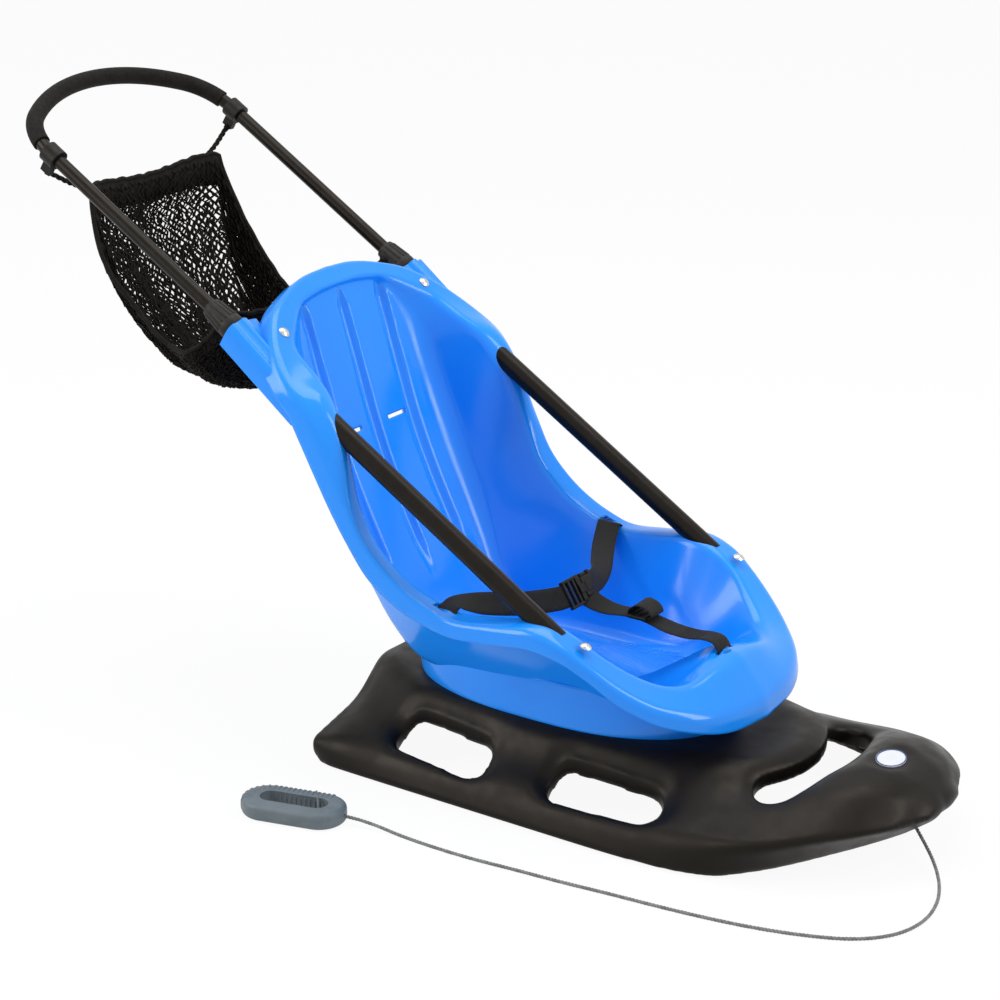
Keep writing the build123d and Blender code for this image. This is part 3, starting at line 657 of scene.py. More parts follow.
def hole_distance(x, y):
    """Distance of plan points from the edge of the nearest opening, below zero inside it."""
    at = np.stack([x, y], axis=-1)
    best = np.full(x.shape, 1e3)
    for line, half in hole_lines():
        for a, b in zip(line, line[1:]):
            share = np.clip(((at - a) @ (b - a)) / ((b - a) @ (b - a)), 0, 1)
            best = np.minimum(best, np.linalg.norm(at - a - share[..., None] * (b - a), axis=-1) - half)
    return best


def hat_rows():
    """Corner lines of the base's half section, and how far each corner is rounded."""
    rows = through(np.array(HATS, float), HAT_SPAN)
    x, sole, sole_z, edge, edge_z, deck, deck_z, hump, hump_z = rows.T
    low = np.maximum(sole_z, SOLE_LOW)
    foot = sole + (edge - sole) * (low - sole_z) / (edge_z - sole_z)
    shut = np.clip((x - NOSE_SHUT[0]) / (NOSE_SHUT[1] - NOSE_SHUT[0]), 0, 1)
    inside = (foot - SOLE_IN) * (1 - shut)
    pairs = ((0 * x, hump_z), (hump, hump_z), (deck, deck_z), (edge, edge_z), (foot, low), (inside, low))
    corners = np.stack([np.stack([x, y, z], axis=1) for y, z in pairs], axis=1)
    size = np.clip(hump / HUMP_FULL, 0.2, 1)
    return corners, np.outer(size, HAT_SOFT)


def base_skin():
    """Outer skin with rounded tail and tip, dished round the openings and under the badge, and its whole surface."""
    corners, soft = hat_rows()
    half = rounded(corners, soft, runs=(7, 6, 7, 5, 4), bends=(9, 10, 9, 6))
    skin = np.concatenate([half[:, :0:-1] * (1, -1, 1), half], axis=1)
    ends = []
    for row, way, steps in ((skin[0], -1, TAIL_ROUND), (skin[-1], 1, TIP_ROUND)):
        middle = np.array((row[0, 0], 0, (row[:, 2].min() + row[:, 2].max()) / 2))
        span = np.linalg.norm(row - middle, axis=1)[:, None]
        ends.append([middle + (way * on, 0, 0) + (row - middle) * np.clip(1 - drawn / span, 0.05, 1)
                     for on, drawn in steps])
    skin = np.concatenate([ends[0][::-1], skin, ends[1]])
    x, y = skin[..., 0], skin[..., 1]
    gap = hole_distance(x, y)
    top = np.clip((skin[..., 2] - DECK_LOW) / DECK_FADE, 0, 1)
    skin[..., 2] -= DISH * top * np.clip(1 - np.maximum(gap, 0) / DISH_REACH, 0, 1) ** 2
    off = np.hypot((x - BADGE_AT[0]) / BADGE_HALF[0], y / BADGE_HALF[1])
    bed = BADGE_AT[1] - BADGE_SINK - BADGE_SLOPE * (x - BADGE_AT[0])
    share = np.clip((BADGE_REACH - off) / BADGE_FADE, 0, 1) * (skin[..., 2] > BADGE_ABOVE)
    skin[..., 2] += share * (bed - skin[..., 2])
    rows, columns = skin.shape[:2]
    points = skin.reshape(-1, 3)
    whole = grid_faces(rows, columns)
    tree = BVHTree.FromPolygons([Vector(c) for c in points], whole)
    faces = [f for f in whole if points[f][:, 2].mean() < WALL_TOP or gap.reshape(-1)[f].mean() > LIP_W / 2]
    return mesh_object("base skin", points, faces + caps(rows, columns)), tree


def hole_lips(tree):
    """Walls that turn down round the openings."""
    lips = []
    for line, half in hole_lines():
        way = unit(np.gradient(line, axis=0))
        across = np.stack([-way[:, 1], way[:, 0]], axis=1)
        turn = np.linspace(pi / 2, -pi / 2, 14)[1:-1, None]
        head = np.cos(turn) * way[-1] + np.sin(turn) * across[-1]
        tail = -np.cos(turn) * way[0] - np.sin(turn) * across[0]
        loop = np.concatenate([np.hstack([line, across]), np.hstack([0 * head + line[-1], head]),
                               np.hstack([line, -across])[::-1], np.hstack([0 * tail + line[0], tail])])
        seen = loop[:, :2] + loop[:, 2:] * (half + LIP_W)
        tops = np.array([tree.ray_cast(Vector((a, b, ABOVE)), Vector((0, 0, -1)))[0].z for a, b in seen])
        rings = np.array([np.column_stack([loop[:, :2] + loop[:, 2:] * (half + wide), np.maximum(tops - drop, LIP_LOW)])
                          for wide, drop in LIP])
        faces = grid_faces(*rings.shape[:2], close_rows=True, close_columns=True)
        lips.append(tidy(mesh_object("lip", rings.reshape(-1, 3), faces)))
    return lips


def base():
    """Skin and lips grown into one soft-edged moulding."""
    skin, tree = base_skin()
    tidy(skin, merge=0.02)
    if sum(p.normal.z * p.area for p in skin.data.polygons if p.center.z > 0.06) < 0:
        skin.data.flip_normals()
    lips = hole_lips(tree)
    thickened(skin, BASE_SKIN)
    piece = join("base_moulding", [skin] + lips)
    remesh = piece.modifiers.new("skin", "REMESH")
    remesh.mode, remesh.voxel_size, remesh.use_smooth_shade = "VOXEL", BASE_VOXEL * MM, True
    soft = piece.modifiers.new("soft", "SMOOTH")
    soft.factor, soft.iterations = 0.5, 8
    applied(piece)
    return place(piece, "root", "base_plastic", BASE_BLACK, "sled_base")


# Tow cord
CORD_LENGTH, CORD_D = 0.968, 4.5
CORD_EXIT = (622.0, -4.0, 38.0)
CORD_ROUTE = (
    CORD_EXIT, (642.99, -16.59, 24.57), (669, -39, 13), (692, -70, 5), (709, -110, 2.4), (716, -158, 2.4),
    (704, -204, 2.4), (670, -240, 2.4), (620, -263, 2.4), (564, -280, 2.4), (506, -291, 2.4), (446, -299, 2.4),
    (386, -305, 2.4), (326, -313, 2.4), (266, -318, 2.4), (206, -325, 2.4), (148, -326.5, 2.4), (100, -325, 2.6),
    (66, -325, 6), (32.03, -333.24, 11), (4.69, -340.56, 11),
)
STRANDS, STRAND_TURN = 3, 13.0


def cord_line():
    """Points of the cord's smooth line, in millimetres."""
    curve = bpy.data.curves.new("cord line", "CURVE")
    curve.dimensions = "3D"
    curve.resolution_u = 24
    spline = curve.splines.new("NURBS")
    spline.points.add(len(CORD_ROUTE) - 1)
    for point, at in zip(spline.points, CORD_ROUTE):
        point.co = (*(c * MM for c in at), 1)
    spline.order_u = 3
    spline.use_endpoint_u = True
    line = new_object("cord line", curve)
    mesh = bpy.data.meshes.new_from_object(line.evaluated_get(bpy.context.evaluated_depsgraph_get()))
    points = np.array([v.co for v in mesh.vertices]) / MM
    bpy.data.meshes.remove(mesh)
    bpy.data.objects.remove(line)
    return points


def even(points, step):
    """Points along a line at even distances."""
    along = np.concatenate([[0], np.cumsum(np.linalg.norm(np.diff(points, axis=0), axis=1))])
    at = np.linspace(0, along[-1], int(along[-1] / step) + 1)
    return np.stack([np.interp(at, along, points[:, k]) for k in range(3)], axis=1)


def tow_cord():
    """Three twisted strands along the cord's line."""
    line = cord_line()
    fine = even(line, 1.2)
    strand_r = CORD_D * 0.27
    rings = tube_points(fine, CORD_D / 2 - strand_r, STRANDS, twist=tau * 1.2 / STRAND_TURN)
    strands = [tube("strand", rings[:, k], strand_r, sides=6) for k in range(STRANDS)]
    cord = join("tow_cord", strands)
    place(cord, "root", "tow_cord", CORD_GREY, "tow_rope")
    return cord


# Repeats by Geometry Nodes

def copies_group():
    """Puts a source object on every point, turned by the points' own attribute."""
    group = bpy.data.node_groups.new("Place copies", "GeometryNodeTree")
    for label, kind in (("Geometry", "NodeSocketGeometry"), ("Source", "NodeSocketObject"),
                        ("Material", "NodeSocketMaterial")):
        group.interface.new_socket(label, in_out="INPUT", socket_type=kind)
    group.interface.new_socket("Geometry", in_out="OUTPUT", socket_type="NodeSocketGeometry")
    have, give = group.nodes.new("NodeGroupInput"), group.nodes.new("NodeGroupOutput")
    source = add(group, "GeometryNodeObjectInfo", [("Object", have.outputs["Source"])])
    turn = add(group, "GeometryNodeInputNamedAttribute", [("Name", "turn")], data_type="FLOAT_VECTOR")
    placed = add(group, "GeometryNodeInstanceOnPoints", [
        ("Points", have.outputs["Geometry"]), ("Instance", source.outputs["Geometry"]),
        ("Rotation", turn.outputs["Attribute"])])
    real = add(group, "GeometryNodeRealizeInstances", [("Geometry", placed.outputs["Instances"])])
    coated = add(group, "GeometryNodeSetMaterial", [("Geometry", real.outputs["Geometry"]),
                                                    ("Material", have.outputs["Material"])])
    group.links.new(coated.outputs["Geometry"], give.inputs["Geometry"])
    return group


COPIES = copies_group()


def copies(name, source, places, material):
    """One mesh of copies of a source at places of (point in millimetres, axes as columns); the source is used up."""
    points = mesh_object(name, [at for at, _ in places], [])
    turns = points.data.attributes.new("turn", "FLOAT_VECTOR", "POINT")
    for item, (_, axes) in zip(turns.data, places):
        item.vector = Matrix(np.array(axes).T.tolist()).to_euler()
    nodes = points.modifiers.new("copies", "NODES")
    nodes.node_group = COPIES
    keys = {item.name: item.identifier for item in COPIES.interface.items_tree if item.in_out == "INPUT"}
    nodes[keys["Source"]] = source
    nodes[keys["Material"]] = material
    applied(points)
    bpy.data.objects.remove(source)
    points.data.polygons.foreach_set("use_smooth", [True] * len(points.data.polygons))
    return points


def block(name, size, bevel, middle=(0, 0, 0), axes=((1, 0, 0), (0, 1, 0), (0, 0, 1)), segments=3):
    """Box with rounded edges, its size along three axes."""
    bm = bmesh.new()
    bmesh.ops.create_cube(bm, size=1)
    bmesh.ops.scale(bm, vec=size, verts=bm.verts)
    bmesh.ops.bevel(bm, geom=bm.edges, offset=bevel, segments=segments, profile=0.5, affect="EDGES")
    points = np.array([v.co for v in bm.verts]) @ np.array(axes, float) + np.array(middle, float)
    faces = [[v.index for v in face.verts] for face in bm.faces]
    bm.free()
    return sharpen(mesh_object(name, points, faces), 50)


# Collars: distance along the tube and radius
COLLAR = ((541, 13.2), (541, 16.0), (542.5, 17.0), (553, 17.0), (555, 16.2), (584, 13.4), (587, 12.8), (588, 11.6),
          (588, 9.3))
COLLAR_SIDES, COLLAR_RIBS = 56, 14
COLLAR_RIB_LOW, COLLAR_RIB_TOP = 556.0, 582.0


def outwards(turn):
    return np.cos(turn) * np.array((0, 1, 0)) + np.sin(turn) * OFF_TUBE


def radial(side, distance, turn, radius):
    return on_tube(side, distance) + outwards(turn) * radius


def collar(name, side):
    """Twist collar: a turned cone with grip ribs."""
    turns = np.linspace(0, tau, COLLAR_SIDES, endpoint=False)
    rings = np.array([[radial(side, s, t, r) for t in turns] for s, r in COLLAR])
    body = mesh_object("collar body", rings.reshape(-1, 3), grid_faces(*rings.shape[:2], close_columns=True))
    sharpen(tidy(body), 35)
    places = []
    for turn in np.arange(COLLAR_RIBS) * tau / COLLAR_RIBS:
        low, top = radial(side, COLLAR_RIB_LOW, turn, 16.0), radial(side, COLLAR_RIB_TOP, turn, 13.5)
        along = unit(top - low)
        across = unit(np.cross(along, outwards(turn)))
        places.append(((low + top) / 2, (across, along, np.cross(across, along))))
    rib = block("rib", (3.4, COLLAR_RIB_TOP - COLLAR_RIB_LOW + 2, 2.4), 1.1)
    ribs = copies("collar ribs", rib, places, COLLAR_GREY)
    return place(join(f"collar_{name}_ribbed", [body, ribs]), "root", "collar_plastic", COLLAR_GREY, f"collar_{name}")


# Harness
WEB_W, WEB_T = 30.0, 1.7
BUCKLE_AT = np.array((149.0, 0, 227.0))
BUCKLE_WIDE = np.array((0.53, 0, -0.848))
BUCKLE_FACE = np.array((0.848, 0, 0.53))
LAP_RIGHT = (
    ((75, -190, 240), (1, 0, 0)), ((76, -179, 246), (1, 0, 0.05)), ((80, -166, 246), (0.9, -0.1, -0.35)),
    ((96, -134, 238), (0.62, 0, -0.78)), ((120, -90, 229), (0.5, 0, -0.86)), ((141, -50, 226), (0.5, 0, -0.86)),
    ((149, -31, 227), (0.53, 0, -0.85)),
)
LAP_LEFT = (
    ((75, 190, 240), (1, 0, 0)), ((76, 179, 247), (1, 0, -0.05)), ((81, 166, 245), (0.98, 0, -0.18)),
    ((100, 126, 234), (0.97, 0, -0.22)), ((126, 80, 226), (0.9, 0, -0.4)), ((143, 46, 226), (0.6, 0, -0.8)),
    ((149, 24, 227), (0.53, 0, -0.85)),
)
CROTCH = (
    ((150, 2, 222), (0.1, 0.96, 0.2)), ((166, 3, 212), (0.15, 0.95, 0.25)), ((192, 2, 208), (0.1, 0.98, 0.12)),
    ((222, 0, 211), (0, 1, 0)), ((250, 0, 210), (0, 1, 0)), ((282, 0, 204), (0, 1, 0.06)),
    ((312, 0, 203), (0, 1, 0.04)), ((334, 0, 206), (0, 1, 0)), ((349, 0, 204), (0, 1, 0)), ((357, 0, 193), (0, 1, 0)),
    ((357.5, 0, 181), (0, 1, 0)),
)
LOOP = (
    ((226, 0, 213), (0, 1, 0)), ((229, 0, 222), (0, 1, 0.03)), ((240, 0, 229), (0, 1, 0.05)),
    ((254, 0, 226), (0, 1, 0.02)), ((260, 0, 217), (0, 1, 0)), ((250, 0, 213.5), (0, 1, 0)), ((234, 0, 214), (0, 1, 0)),
)


def strap(name, stations):
    """Webbing through stations of (middle, width direction), with its weave laid out in metres."""
    run = through([[*at, *across] for at, across in stations], 12)
    middle, across = run[:, :3], run[:, 3:]
    along = unit(np.gradient(middle, axis=0))
    across = unit(across - along * (across * along).sum(1)[:, None])
    face = np.cross(along, across)
    shares = np.array((-0.5, -0.48, -0.3, -0.1, 0.1, 0.3, 0.48, 0.5))
    heights = np.array((0.15, 0.5, 0.5, 0.5, 0.5, 0.5, 0.5, 0.15))
    ring = [(c, h) for c, h in zip(shares, heights)] + [(c, -h) for c, h in zip(shares[::-1], heights)]
    points = np.stack([middle + across * c * WEB_W + face * h * WEB_T for c, h in ring], axis=1)
    count = len(ring)
    last = (len(run) - 1) * count
    faces = grid_faces(len(run), count, close_columns=True)
    faces += [list(range(count)), list(range(last, last + count))[::-1]]
    piece = mesh_object(name, points.reshape(-1, 3), faces)
    length = np.concatenate([[0], np.cumsum(np.linalg.norm(np.diff(middle, axis=0), axis=1))])
    flat = np.array([((c + 0.5) * WEB_W, at) for at in length for c, _ in ring]) * MM
    layer = piece.data.uv_layers.new(name="Strip")
    for loop in piece.data.loops:
        layer.data[loop.index].uv = flat[loop.vertex_index]
    return piece


def webbed(name, pieces, *replaced):
    """One object from straps that keeps their weave layout."""
    if len(pieces) > 1:
        pieces = [join(name, pieces)]
    pieces[0].name = name
    return place(pieces[0], "root", "webbing", WEBBING, *replaced)


def in_buckle(y, wide=0.0, face=0.0):
    return BUCKLE_AT + np.array((0, y, 0)) + BUCKLE_WIDE * wide + BUCKLE_FACE * face


def buckle():
    """Side-release buckle: a bar frame on the near belt, a body with side arms on the far one."""
    axes = ((0, 1, 0), BUCKLE_WIDE, BUCKLE_FACE)

    def bit(size, y, wide=0.0, face=0.0, bevel=1.2):
        return block("bit", size, bevel, in_buckle(y, wide, face), axes)

    near = [bit((4.5, 36, 6), y, bevel=1.6) for y in (-33, -23, -13)]
    near += [bit((36, 4, 6.5), -18, wide, bevel=1.4) for wide in (-17, 17)]
    near += [bit((9, 34, 9), -5, bevel=2.0), bit((10, 12, 3), -5, 0, 4.2, bevel=1.0)]
    far = [bit((22, 27, 10.5), 11, bevel=2.4)] + [bit((12, 5, 8), 9, wide, bevel=1.8) for wide in (-15.5, 15.5)]
    far += [bit((5, 37, 7), 22, bevel=1.8), bit((14, 14, 2.5), 10, 0, 5.2, bevel=0.9)]
    place(join("buckle_bar_frame", near), "root", "buckle_plastic", BUCKLE_BLACK, "buckle_socket")
    place(join("buckle_body", far), "root", "buckle_plastic", BUCKLE_BLACK, "buckle_plug")


def stitches(name, rows):
    """Short thread bumps along rows of (start, end, face direction)."""
    places = []
    for start, end, face in rows:
        start, end, face = (np.array(c, float) for c in (start, end, face))
        along = unit(end - start)
        across = unit(np.cross(face, along))
        for share in np.linspace(0, 1, 9):
            places.append((start + (end - start) * share, (along, across, np.cross(along, across))))
    thread = block("thread", (2.2, 0.8, 0.8), 0.3, segments=1)
    return place(copies(name, thread, places, BUCKLE_BLACK), "root", "webbing", BUCKLE_BLACK)


def harness():
    webbed("lap_belt_right_web", [strap("web", LAP_RIGHT)], "lap_belt_right")
    webbed("lap_belt_left_web", [strap("web", LAP_LEFT)], "lap_belt_left")
    webbed("crotch_strap_web", [strap("web", CROTCH), strap("loop", LOOP)], "crotch_strap")
    buckle()
    frame_bits = [block("bit", (3.6, 39, 4), 1.2, (x, 0, 214)) for x in (230, 241, 252)]
    frame_bits += [block("bit", (25, 3.6, 4), 1.2, (241, y, 214)) for y in (-18, 18)]
    place(join("strap_adjuster_frame", frame_bits), "root", "buckle_plastic", BUCKLE_BLACK, "strap_adjuster")
    stitches("strap_stitches", [((300, y, 204.6), (328, y, 206.6), (0, 0, 1)) for y in (-11, -3.5, 3.5, 11)])


# Tow grip: ribs along its far arm and round its end, in the grip's own length and width
GRIP_AT, GRIP_TURN = np.array((-38.0, -352.0, 11.0)), radians(15)
GRIP_ARM, GRIP_STRAIGHT = 23.25, 34.5
GRIP_RIB_STEP, GRIP_RIB_SIDES = 6.4, 36
GRIP_RIB_HALF, GRIP_RIB_POWER, GRIP_RIB_LIFT = (10.6, 11.2), 2 / 0.62, 0.4
GRIP_RIB_RINGS = ((-1.5, 0.95), (-0.9, 1.0), (0.9, 1.0), (1.5, 0.95))


def grip_place(along, across):
    c, w = cos(GRIP_TURN), sin(GRIP_TURN)
    return GRIP_AT + np.array((along * c - across * w, along * w + across * c, 0))


def ring_rib():
    """Flat disc with the arm's rounded section, a little larger than the arm."""
    turn = np.linspace(0, tau, GRIP_RIB_SIDES, endpoint=False)
    y, z = squircle(turn, *GRIP_RIB_HALF, GRIP_RIB_POWER)
    outline = np.stack([0 * turn, y, GRIP_RIB_LIFT + z], axis=1)
    rings = np.array([outline * (1, size, size) + (at, 0, 0) for at, size in GRIP_RIB_RINGS])
    faces = grid_faces(*rings.shape[:2], close_columns=True) + caps(*rings.shape[:2])
    return sharpen(tidy(mesh_object("rib", rings.reshape(-1, 3), faces)), 50)


def tow_grip():
    """Ribs round the pulled arm of the loop, over the plain ring."""
    places = []
    reach = GRIP_STRAIGHT + pi / 2 * GRIP_ARM
    for at in np.arange(-reach - 10, GRIP_STRAIGHT + 12, GRIP_RIB_STEP):
        if at < -GRIP_STRAIGHT:
            turn = pi / 2 + (-GRIP_STRAIGHT - at) / GRIP_ARM
            along, across = -GRIP_STRAIGHT + GRIP_ARM * cos(turn), GRIP_ARM * sin(turn)
            out = turn
        else:
            along, across, out = at, GRIP_ARM, pi / 2
        out += GRIP_TURN
        places.append((grip_place(along, across),
                       ((sin(out), -cos(out), 0), (cos(out), sin(out), 0), (0, 0, 1))))
    rib = ring_rib()
    coat(TOW_GREY, "tow_grip")
    return place(copies("tow_grip_ribs", rib, places, TOW_GREY), "root", "tow_plastic", TOW_GREY)


KNOT_TAIL = ((36, 0, 0), (31, 3, 3), (27, 10, 11), (24, 15, 20))


def tow_knot():
    """Overhand stopper knot inside the loop, with its loose tail."""
    turn = np.linspace(0, tau, 90, endpoint=False)
    knot = np.stack([np.sin(turn) + 2 * np.sin(2 * turn), np.cos(turn) - 2 * np.cos(2 * turn), -np.sin(3 * turn)],
                    axis=1)
    knot = knot * np.array((1.25, 1.25, 1.9)) + grip_place(36.5, 0)
    tail = through([grip_place(along, across) + np.array((0, 0, up)) for along, across, up in KNOT_TAIL], 8)
    pieces = [tube("knot", knot, 1.9, sides=8, closed=True), tube("tail", tail, 1.0, sides=6)]
    return place(join("tow_knot_tied", pieces), "root", "tow_cord", CORD_GREY, "tow_knot")


# Badge: dark rim round the plain plate
BADGE_INSET = 1.2


def badge_rim():
    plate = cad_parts["badge_plate"].data
    points = np.array([v.co for v in plate.vertices]) / MM
    middle = points.mean(axis=0)
    _, _, axes = np.linalg.svd(points - middle, full_matrices=False)
    up = axes[2] * np.sign(axes[2][2])
    long, short = axes[0], np.cross(up, axes[0])
    turn = np.linspace(0, tau, 64, endpoint=False)
    half = [np.abs((points - middle) @ a).max() for a in (long, short)]
    top = ((points - middle) @ up).max()
    ring = middle + up * top
    for wave, reach, axis in ((np.cos(turn), half[0], long), (np.sin(turn), half[1], short)):
        ring = ring + np.outer(wave * (reach - BADGE_INSET), axis)
    return place(tube("badge_rim", ring, 0.9, sides=8, closed=True), "root", "badge_plain", RIM_BLUE)


# Fine ribs on the seat pan: arcs about a point on the middle line
PAN_RIB_X, PAN_RIB_Z = 300.0, 260.0
PAN_RIB_NEAR, PAN_RIB_FAR, PAN_RIB_PITCH = 62.0, 190.0, 4.2
PAN_RIB_HALF = 98.0


def pan_ribs(skin):
    """Thin half-sunk arcs that lie on the pan."""
    tree = BVHTree.FromPolygons([v.co for v in skin.data.vertices], [p.vertices for p in skin.data.polygons])
    arcs = []
    for radius in np.arange(PAN_RIB_NEAR, PAN_RIB_FAR, PAN_RIB_PITCH):
        reach = np.arcsin(min(1.0, PAN_RIB_HALF / radius)) if radius > PAN_RIB_HALF else 1.25
        line = []
        for turn in np.linspace(-reach, reach, 48):
            x, y = PAN_RIB_X - radius * cos(turn), radius * sin(turn)
            hit = tree.ray_cast(Vector((x, y, PAN_RIB_Z)) * MM, Vector((0, 0, -1)))[0]
            if hit is not None and hit.z < 0.128:
                line.append(np.array(hit) / MM)
        if len(line) > 8:
            arcs.append(tube("rib", line, 0.85, sides=5))
    return join("pan ribs", arcs)


# Net bag, from its mouth down: middle, tilt, half length along the tubes, half width and corner power
Sack = namedtuple("Sack", "x z tilt half_x half_y power")
SACKS = (
    Sack(-428, 610, 31.8, 150, 150, 4.5), Sack(-428, 580, 30, 147, 152, 4.0), Sack(-425, 543, 28, 140, 150, 3.6),
    Sack(-414, 494, 24, 116, 140, 3.2), Sack(-392, 446, 14, 84, 112, 2.8), Sack(-374, 431, 8, 56, 80, 2.4),
    Sack(-358, 425, 4, 16, 38, 2.2),
)
NET_COLUMNS, NET_ROWS = 150, 54
NET_YARN = 1.95
NET_LAYERS = (0.0, 3.0)
SIDE_DIP = 0.5
NET_SEED = 7
RIM_SAG = 24.0
BAG_TOP = 891.0
CLIP_DROP, COLLAR_TIE, COLLAR_REACH = 26.0, 572.0, 16.0
BAG_MIDDLE = np.array((-428.0, 0, 560))


class Bag:
    """Soft surface of the bag: at(u, v) with u round the mouth and v from the mouth to the seam."""

    def __init__(self):
        rows = through(np.array(SACKS, float), 12)
        turn = np.linspace(0, tau, 721)
        self.rings = []
        for x, z, tilt, half_x, half_y, power in rows:
            along, across = squircle(turn, half_x, half_y, power)
            t = radians(tilt)
            ring = np.stack([x - along * cos(t), across, z + along * sin(t)], axis=1)
            steps = np.concatenate([[0], np.cumsum(np.linalg.norm(np.diff(ring, axis=0), axis=1))])
            even_at = np.linspace(0, steps[-1], 361)
            self.rings.append(np.stack([np.interp(even_at, steps, ring[:, k]) for k in range(3)], axis=1))
        self.rings = np.array(self.rings)
        depth = np.linalg.norm(np.diff(self.rings, axis=0), axis=2).mean(axis=1)
        self.depth = np.concatenate([[0], np.cumsum(depth)]) / depth.sum()

    def at(self, u, v):
        """Points for arrays of u and v, with sag at the mouth and soft folds below it."""
        u, v = np.asarray(u) % 1.0, np.clip(v, 0, 1)
        row = np.interp(v, self.depth, np.arange(len(self.rings)))
        low = np.minimum(row.astype(int), len(self.rings) - 2)
        column = u * 360
        left = np.minimum(column.astype(int), 359)
        fr, fc = (row - low)[..., None], (column - left)[..., None]
        near = self.rings[low, left] * (1 - fc) + self.rings[low, left + 1] * fc
        far = self.rings[low + 1, left] * (1 - fc) + self.rings[low + 1, left + 1] * fc
        point = near * (1 - fr) + far * fr
        rear = np.clip((np.cos(tau * u) - 0.35) / 0.3, 0, 1)
        droop = np.clip(1 - v / 0.5, 0, 1) ** 1.5
        point[..., 2] -= RIM_SAG * rear * droop * np.clip(1 - (point[..., 1] / 150) ** 2, 0, 1)
        fold = np.sin(pi * np.clip(v * 1.15, 0, 1))
        swell = (np.sin(tau * (7 * u + 0.5 * v) + 0.6) + 0.8 * np.sin(tau * (11 * u - 1.1 * v) + 2.1)
                 + 0.7 * np.sin(tau * (4 * u + 1.9 * v) + 4.0))
        out = (point - BAG_MIDDLE) * np.array((1, 1, 0))
        out /= np.maximum(np.linalg.norm(out, axis=-1), 1)[..., None]
        point += out * (3.4 * swell * fold)[..., None]
        return point


def mouth(u):
    """How far down the mouth's edge lies: it dips along both sides."""
    return SIDE_DIP * np.clip((np.abs(np.sin(tau * u)) - 0.70) / 0.3, 0, 1) ** 0.8


def net():
    """Zigzag strands in two layers that meet their neighbours turn by turn, uneven as knitted net is."""
    bag, chance = Bag(), np.random.default_rng(NET_SEED)
    strands = []
    rows = np.arange(NET_ROWS)
    for inwards in NET_LAYERS:
        for k in range(NET_COLUMNS):
            swing = np.where((rows + k) % 2, 0.43, -0.43) + chance.normal(0, 0.12, NET_ROWS)
            v = rows / (NET_ROWS - 1) + chance.normal(0, 0.004, NET_ROWS)
            u = (k + 0.5 + swing + inwards / 7) / NET_COLUMNS
            path = bag.at(u, mouth(u) + (1 - mouth(u)) * (0.02 + 0.98 * v))
            path += chance.normal(0, 0.7, path.shape) + (BAG_MIDDLE - path) * np.array((1, 1, 0)) / 150 * inwards
            strands.append(tube("strand", path, NET_YARN * chance.uniform(0.8, 1.2, NET_ROWS), sides=4))
    return join("net_bag_net", strands + [hem(bag)] + ties(bag))


def hem(bag):
    """Doubled band round the mouth with a rolled top edge."""
    u = np.linspace(0, 1, 300, endpoint=False)
    ripple = 0.7 * np.sin(tau * 37 * u) + 0.5 * np.sin(tau * 61 * u + 1)
    shapes = []
    for inwards, v in ((0, 0.0), (-0.6, 0.06), (0, 0.13), (2.6, 0.14), (3.4, 0.06), (2.8, 0.0)):
        ring = bag.at(u, mouth(u) + (1 - mouth(u)) * v)
        ring[:, 2] += ripple
        shapes.append(ring + (BAG_MIDDLE - ring) * np.array((1, 1, 0)) / 150 * inwards)
    shapes = np.array(shapes)
    faces = grid_faces(len(shapes), len(u), close_rows=True, close_columns=True)
    band = mesh_object("hem", shapes.reshape(-1, 3), faces)
    edge = bag.at(u, mouth(u))
    edge[:, 2] += ripple + 1.5
    return join("hem", [tidy(band, merge=0.001), tube("roll", edge, 3.2, sides=8, closed=True)])


def ties(bag):
    """Twisted ties from the mouth's corners to the clips and the collars."""
    pieces = []
    for _, side in SIDES:
        ends = ((clip_foot(side), 0.095), (collar_foot(side), 0.405))
        for foot, turn in ends:
            corner = bag.at(np.array([turn if side > 0 else 1 - turn]), np.array([0.03]))[0]
            middle = (foot + corner) / 2 + np.array((0, 0, -4))
            line = even(through([corner, middle, foot], 14), 1.5)
            rings = tube_points(line, 2.0, 3, twist=0.32)
            pieces += [tube("tie", rings[:, k], 1.7, sides=6) for k in range(3)]
            pieces.append(tube("tie wrap", line[-5:], 4.4, sides=10))
    return pieces


def clip_foot(side):
    return on_tube(side, BAG_TOP) - OFF_TUBE * CLIP_DROP


def collar_foot(side):
    return on_tube(side, COLLAR_TIE) - np.array((0, side * COLLAR_REACH, 0))


def net_bag():
    piece = place(net(), "handle", "net_cord", NET_BLACK, "net_bag")
    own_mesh(piece)
    return piece


# Stage, light and camera
CAMERA_AT = (1.82838, -2.59095, 1.44677)
CAMERA_AZIMUTH, CAMERA_ELEVATION = 34.865, 19.653
LENS = 94.83
FLOOR_SHARE = 0.93


def seen_rays(tree):
    """One for rays from the camera and for those that metal or glass sends on."""
    path = add(tree, "ShaderNodeLightPath").outputs
    passed = add(tree, "ShaderNodeMath", [(0, path["Is Glossy Ray"]), (1, path["Is Transmission Ray"])],
                 operation="MAXIMUM")
    return add(tree, "ShaderNodeMath", [(0, path["Is Camera Ray"]), (1, passed.outputs[0])], operation="MAXIMUM")


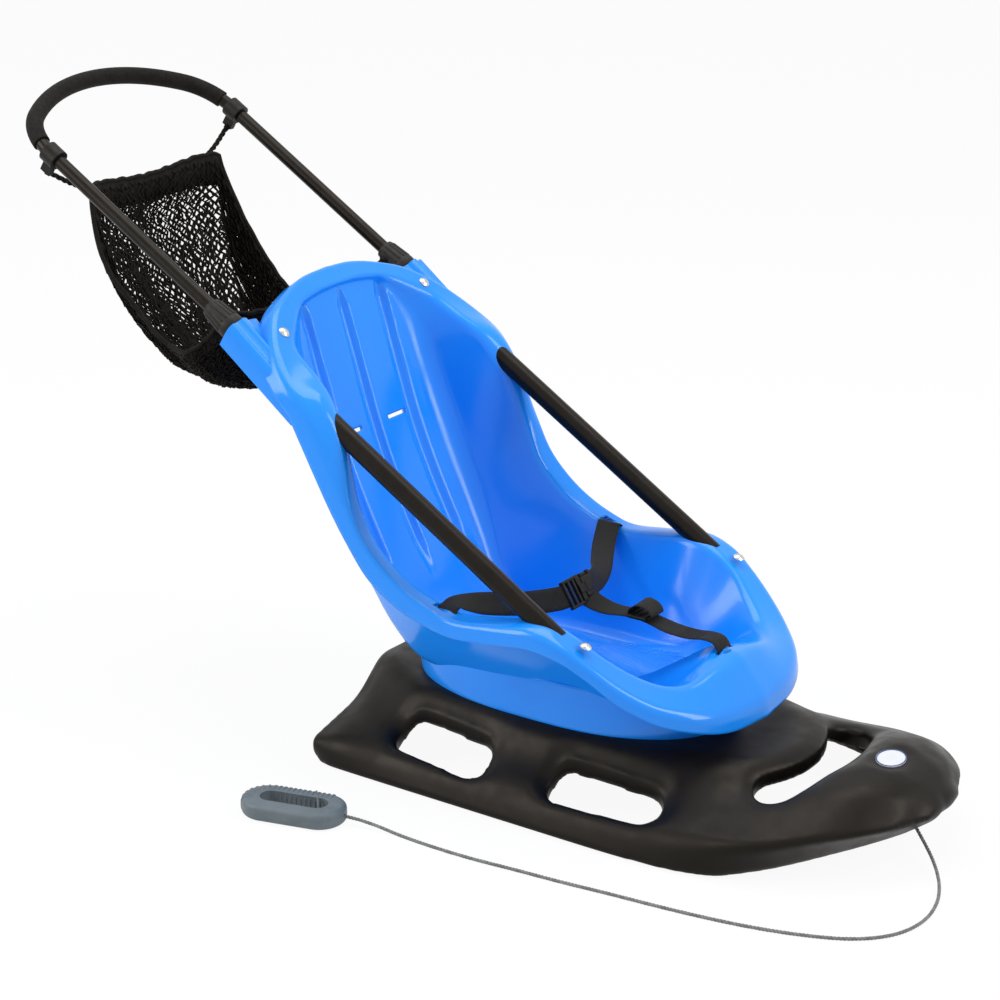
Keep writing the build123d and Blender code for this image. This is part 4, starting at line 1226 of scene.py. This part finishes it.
def studio():
    scene = bpy.context.scene
    scene.view_settings.view_transform = "Standard"
    camera = new_object("camera", bpy.data.cameras.new("camera"))
    camera.data.lens, camera.data.sensor_width = LENS, 36.0
    camera.location = CAMERA_AT
    camera.rotation_euler = (radians(90 - CAMERA_ELEVATION), 0, radians(CAMERA_AZIMUTH))
    scene.camera = camera
    world = bpy.data.worlds.new("studio")
    scene.world = world
    world.use_nodes = True
    tree = world.node_tree
    tree.nodes.clear()
    seen = seen_rays(tree)
    fill = add(tree, "ShaderNodeBackground", [("Color", (0.95, 0.97, 1.0, 1)), ("Strength", 0.5)])
    white = add(tree, "ShaderNodeBackground", [("Color", (1, 1, 1, 1)), ("Strength", 1.0)])
    mix = add(tree, "ShaderNodeMixShader", [(0, seen.outputs[0]), (1, fill.outputs[0]), (2, white.outputs[0])])
    add(tree, "ShaderNodeOutputWorld", [("Surface", mix.outputs[0])])
    floor = mesh_object("floor", [(-9000, -9000, 0), (9000, -9000, 0), (9000, 9000, 0), (-9000, 9000, 0)],
                        [[0, 1, 2, 3]])
    floor.data.materials.append(floor_material())
    for name, at, aim, size, power in (
            ("left box", (-2.2, -2.6, 2.2), (0, 0, 0.3), (1.6, 2.2), 62),
            ("right box", (2.6, 0.6, 1.9), (0, 0, 0.3), (0.9, 2.2), 40),
            ("top box", (-0.3, 0.4, 3.2), (0, 0, 0.2), (2.6, 1.8), 46)):
        lamp = bpy.data.lights.new(name, "AREA")
        lamp.shape, lamp.size, lamp.size_y, lamp.energy = "RECTANGLE", *size, power
        obj = new_object(name, lamp)
        obj.location = at
        obj.rotation_euler = (Vector(aim) - Vector(at)).to_track_quat("-Z", "Y").to_euler()


def floor_material():
    """Pale floor that reads white from above and still takes the sled's soft shadow."""
    material, tree, shader = blank("floor white")
    shader.inputs["Base Color"].default_value = (0.93, 0.93, 0.93, 1)
    shader.inputs["Roughness"].default_value = 0.9
    shader.inputs["Specular IOR Level"].default_value = 0.1
    glow = add(tree, "ShaderNodeEmission", [("Color", (1, 1, 1, 1)), ("Strength", 1.0)])
    seen = add(tree, "ShaderNodeMath", [(0, seen_rays(tree).outputs[0]), (1, FLOOR_SHARE)], operation="MULTIPLY")
    mix = add(tree, "ShaderNodeMixShader", [(0, seen.outputs[0]), (1, shader.outputs[0]), (2, glow.outputs[0])])
    tree.links.new(mix.outputs[0], tree.nodes["Material Output"].inputs["Surface"])
    return material


studio()
seat()
base()
net_bag()
harness()
tow_grip()
tow_knot()
tow_cord()
badge_rim()
for name, side in SIDES:
    collar(name, side)
coat(TUBE_BLACK, "outer_tube_right", "outer_tube_left", "handle_bar")
coat(BUCKLE_BLACK, "bag_clip_right", "bag_clip_left")
coat(FOAM_BLACK, "handle_grip")
coat(NICKEL, "rivets")
coat(BADGE, "badge_plate")
coat(TOW_GREY, "tow_eyelet")
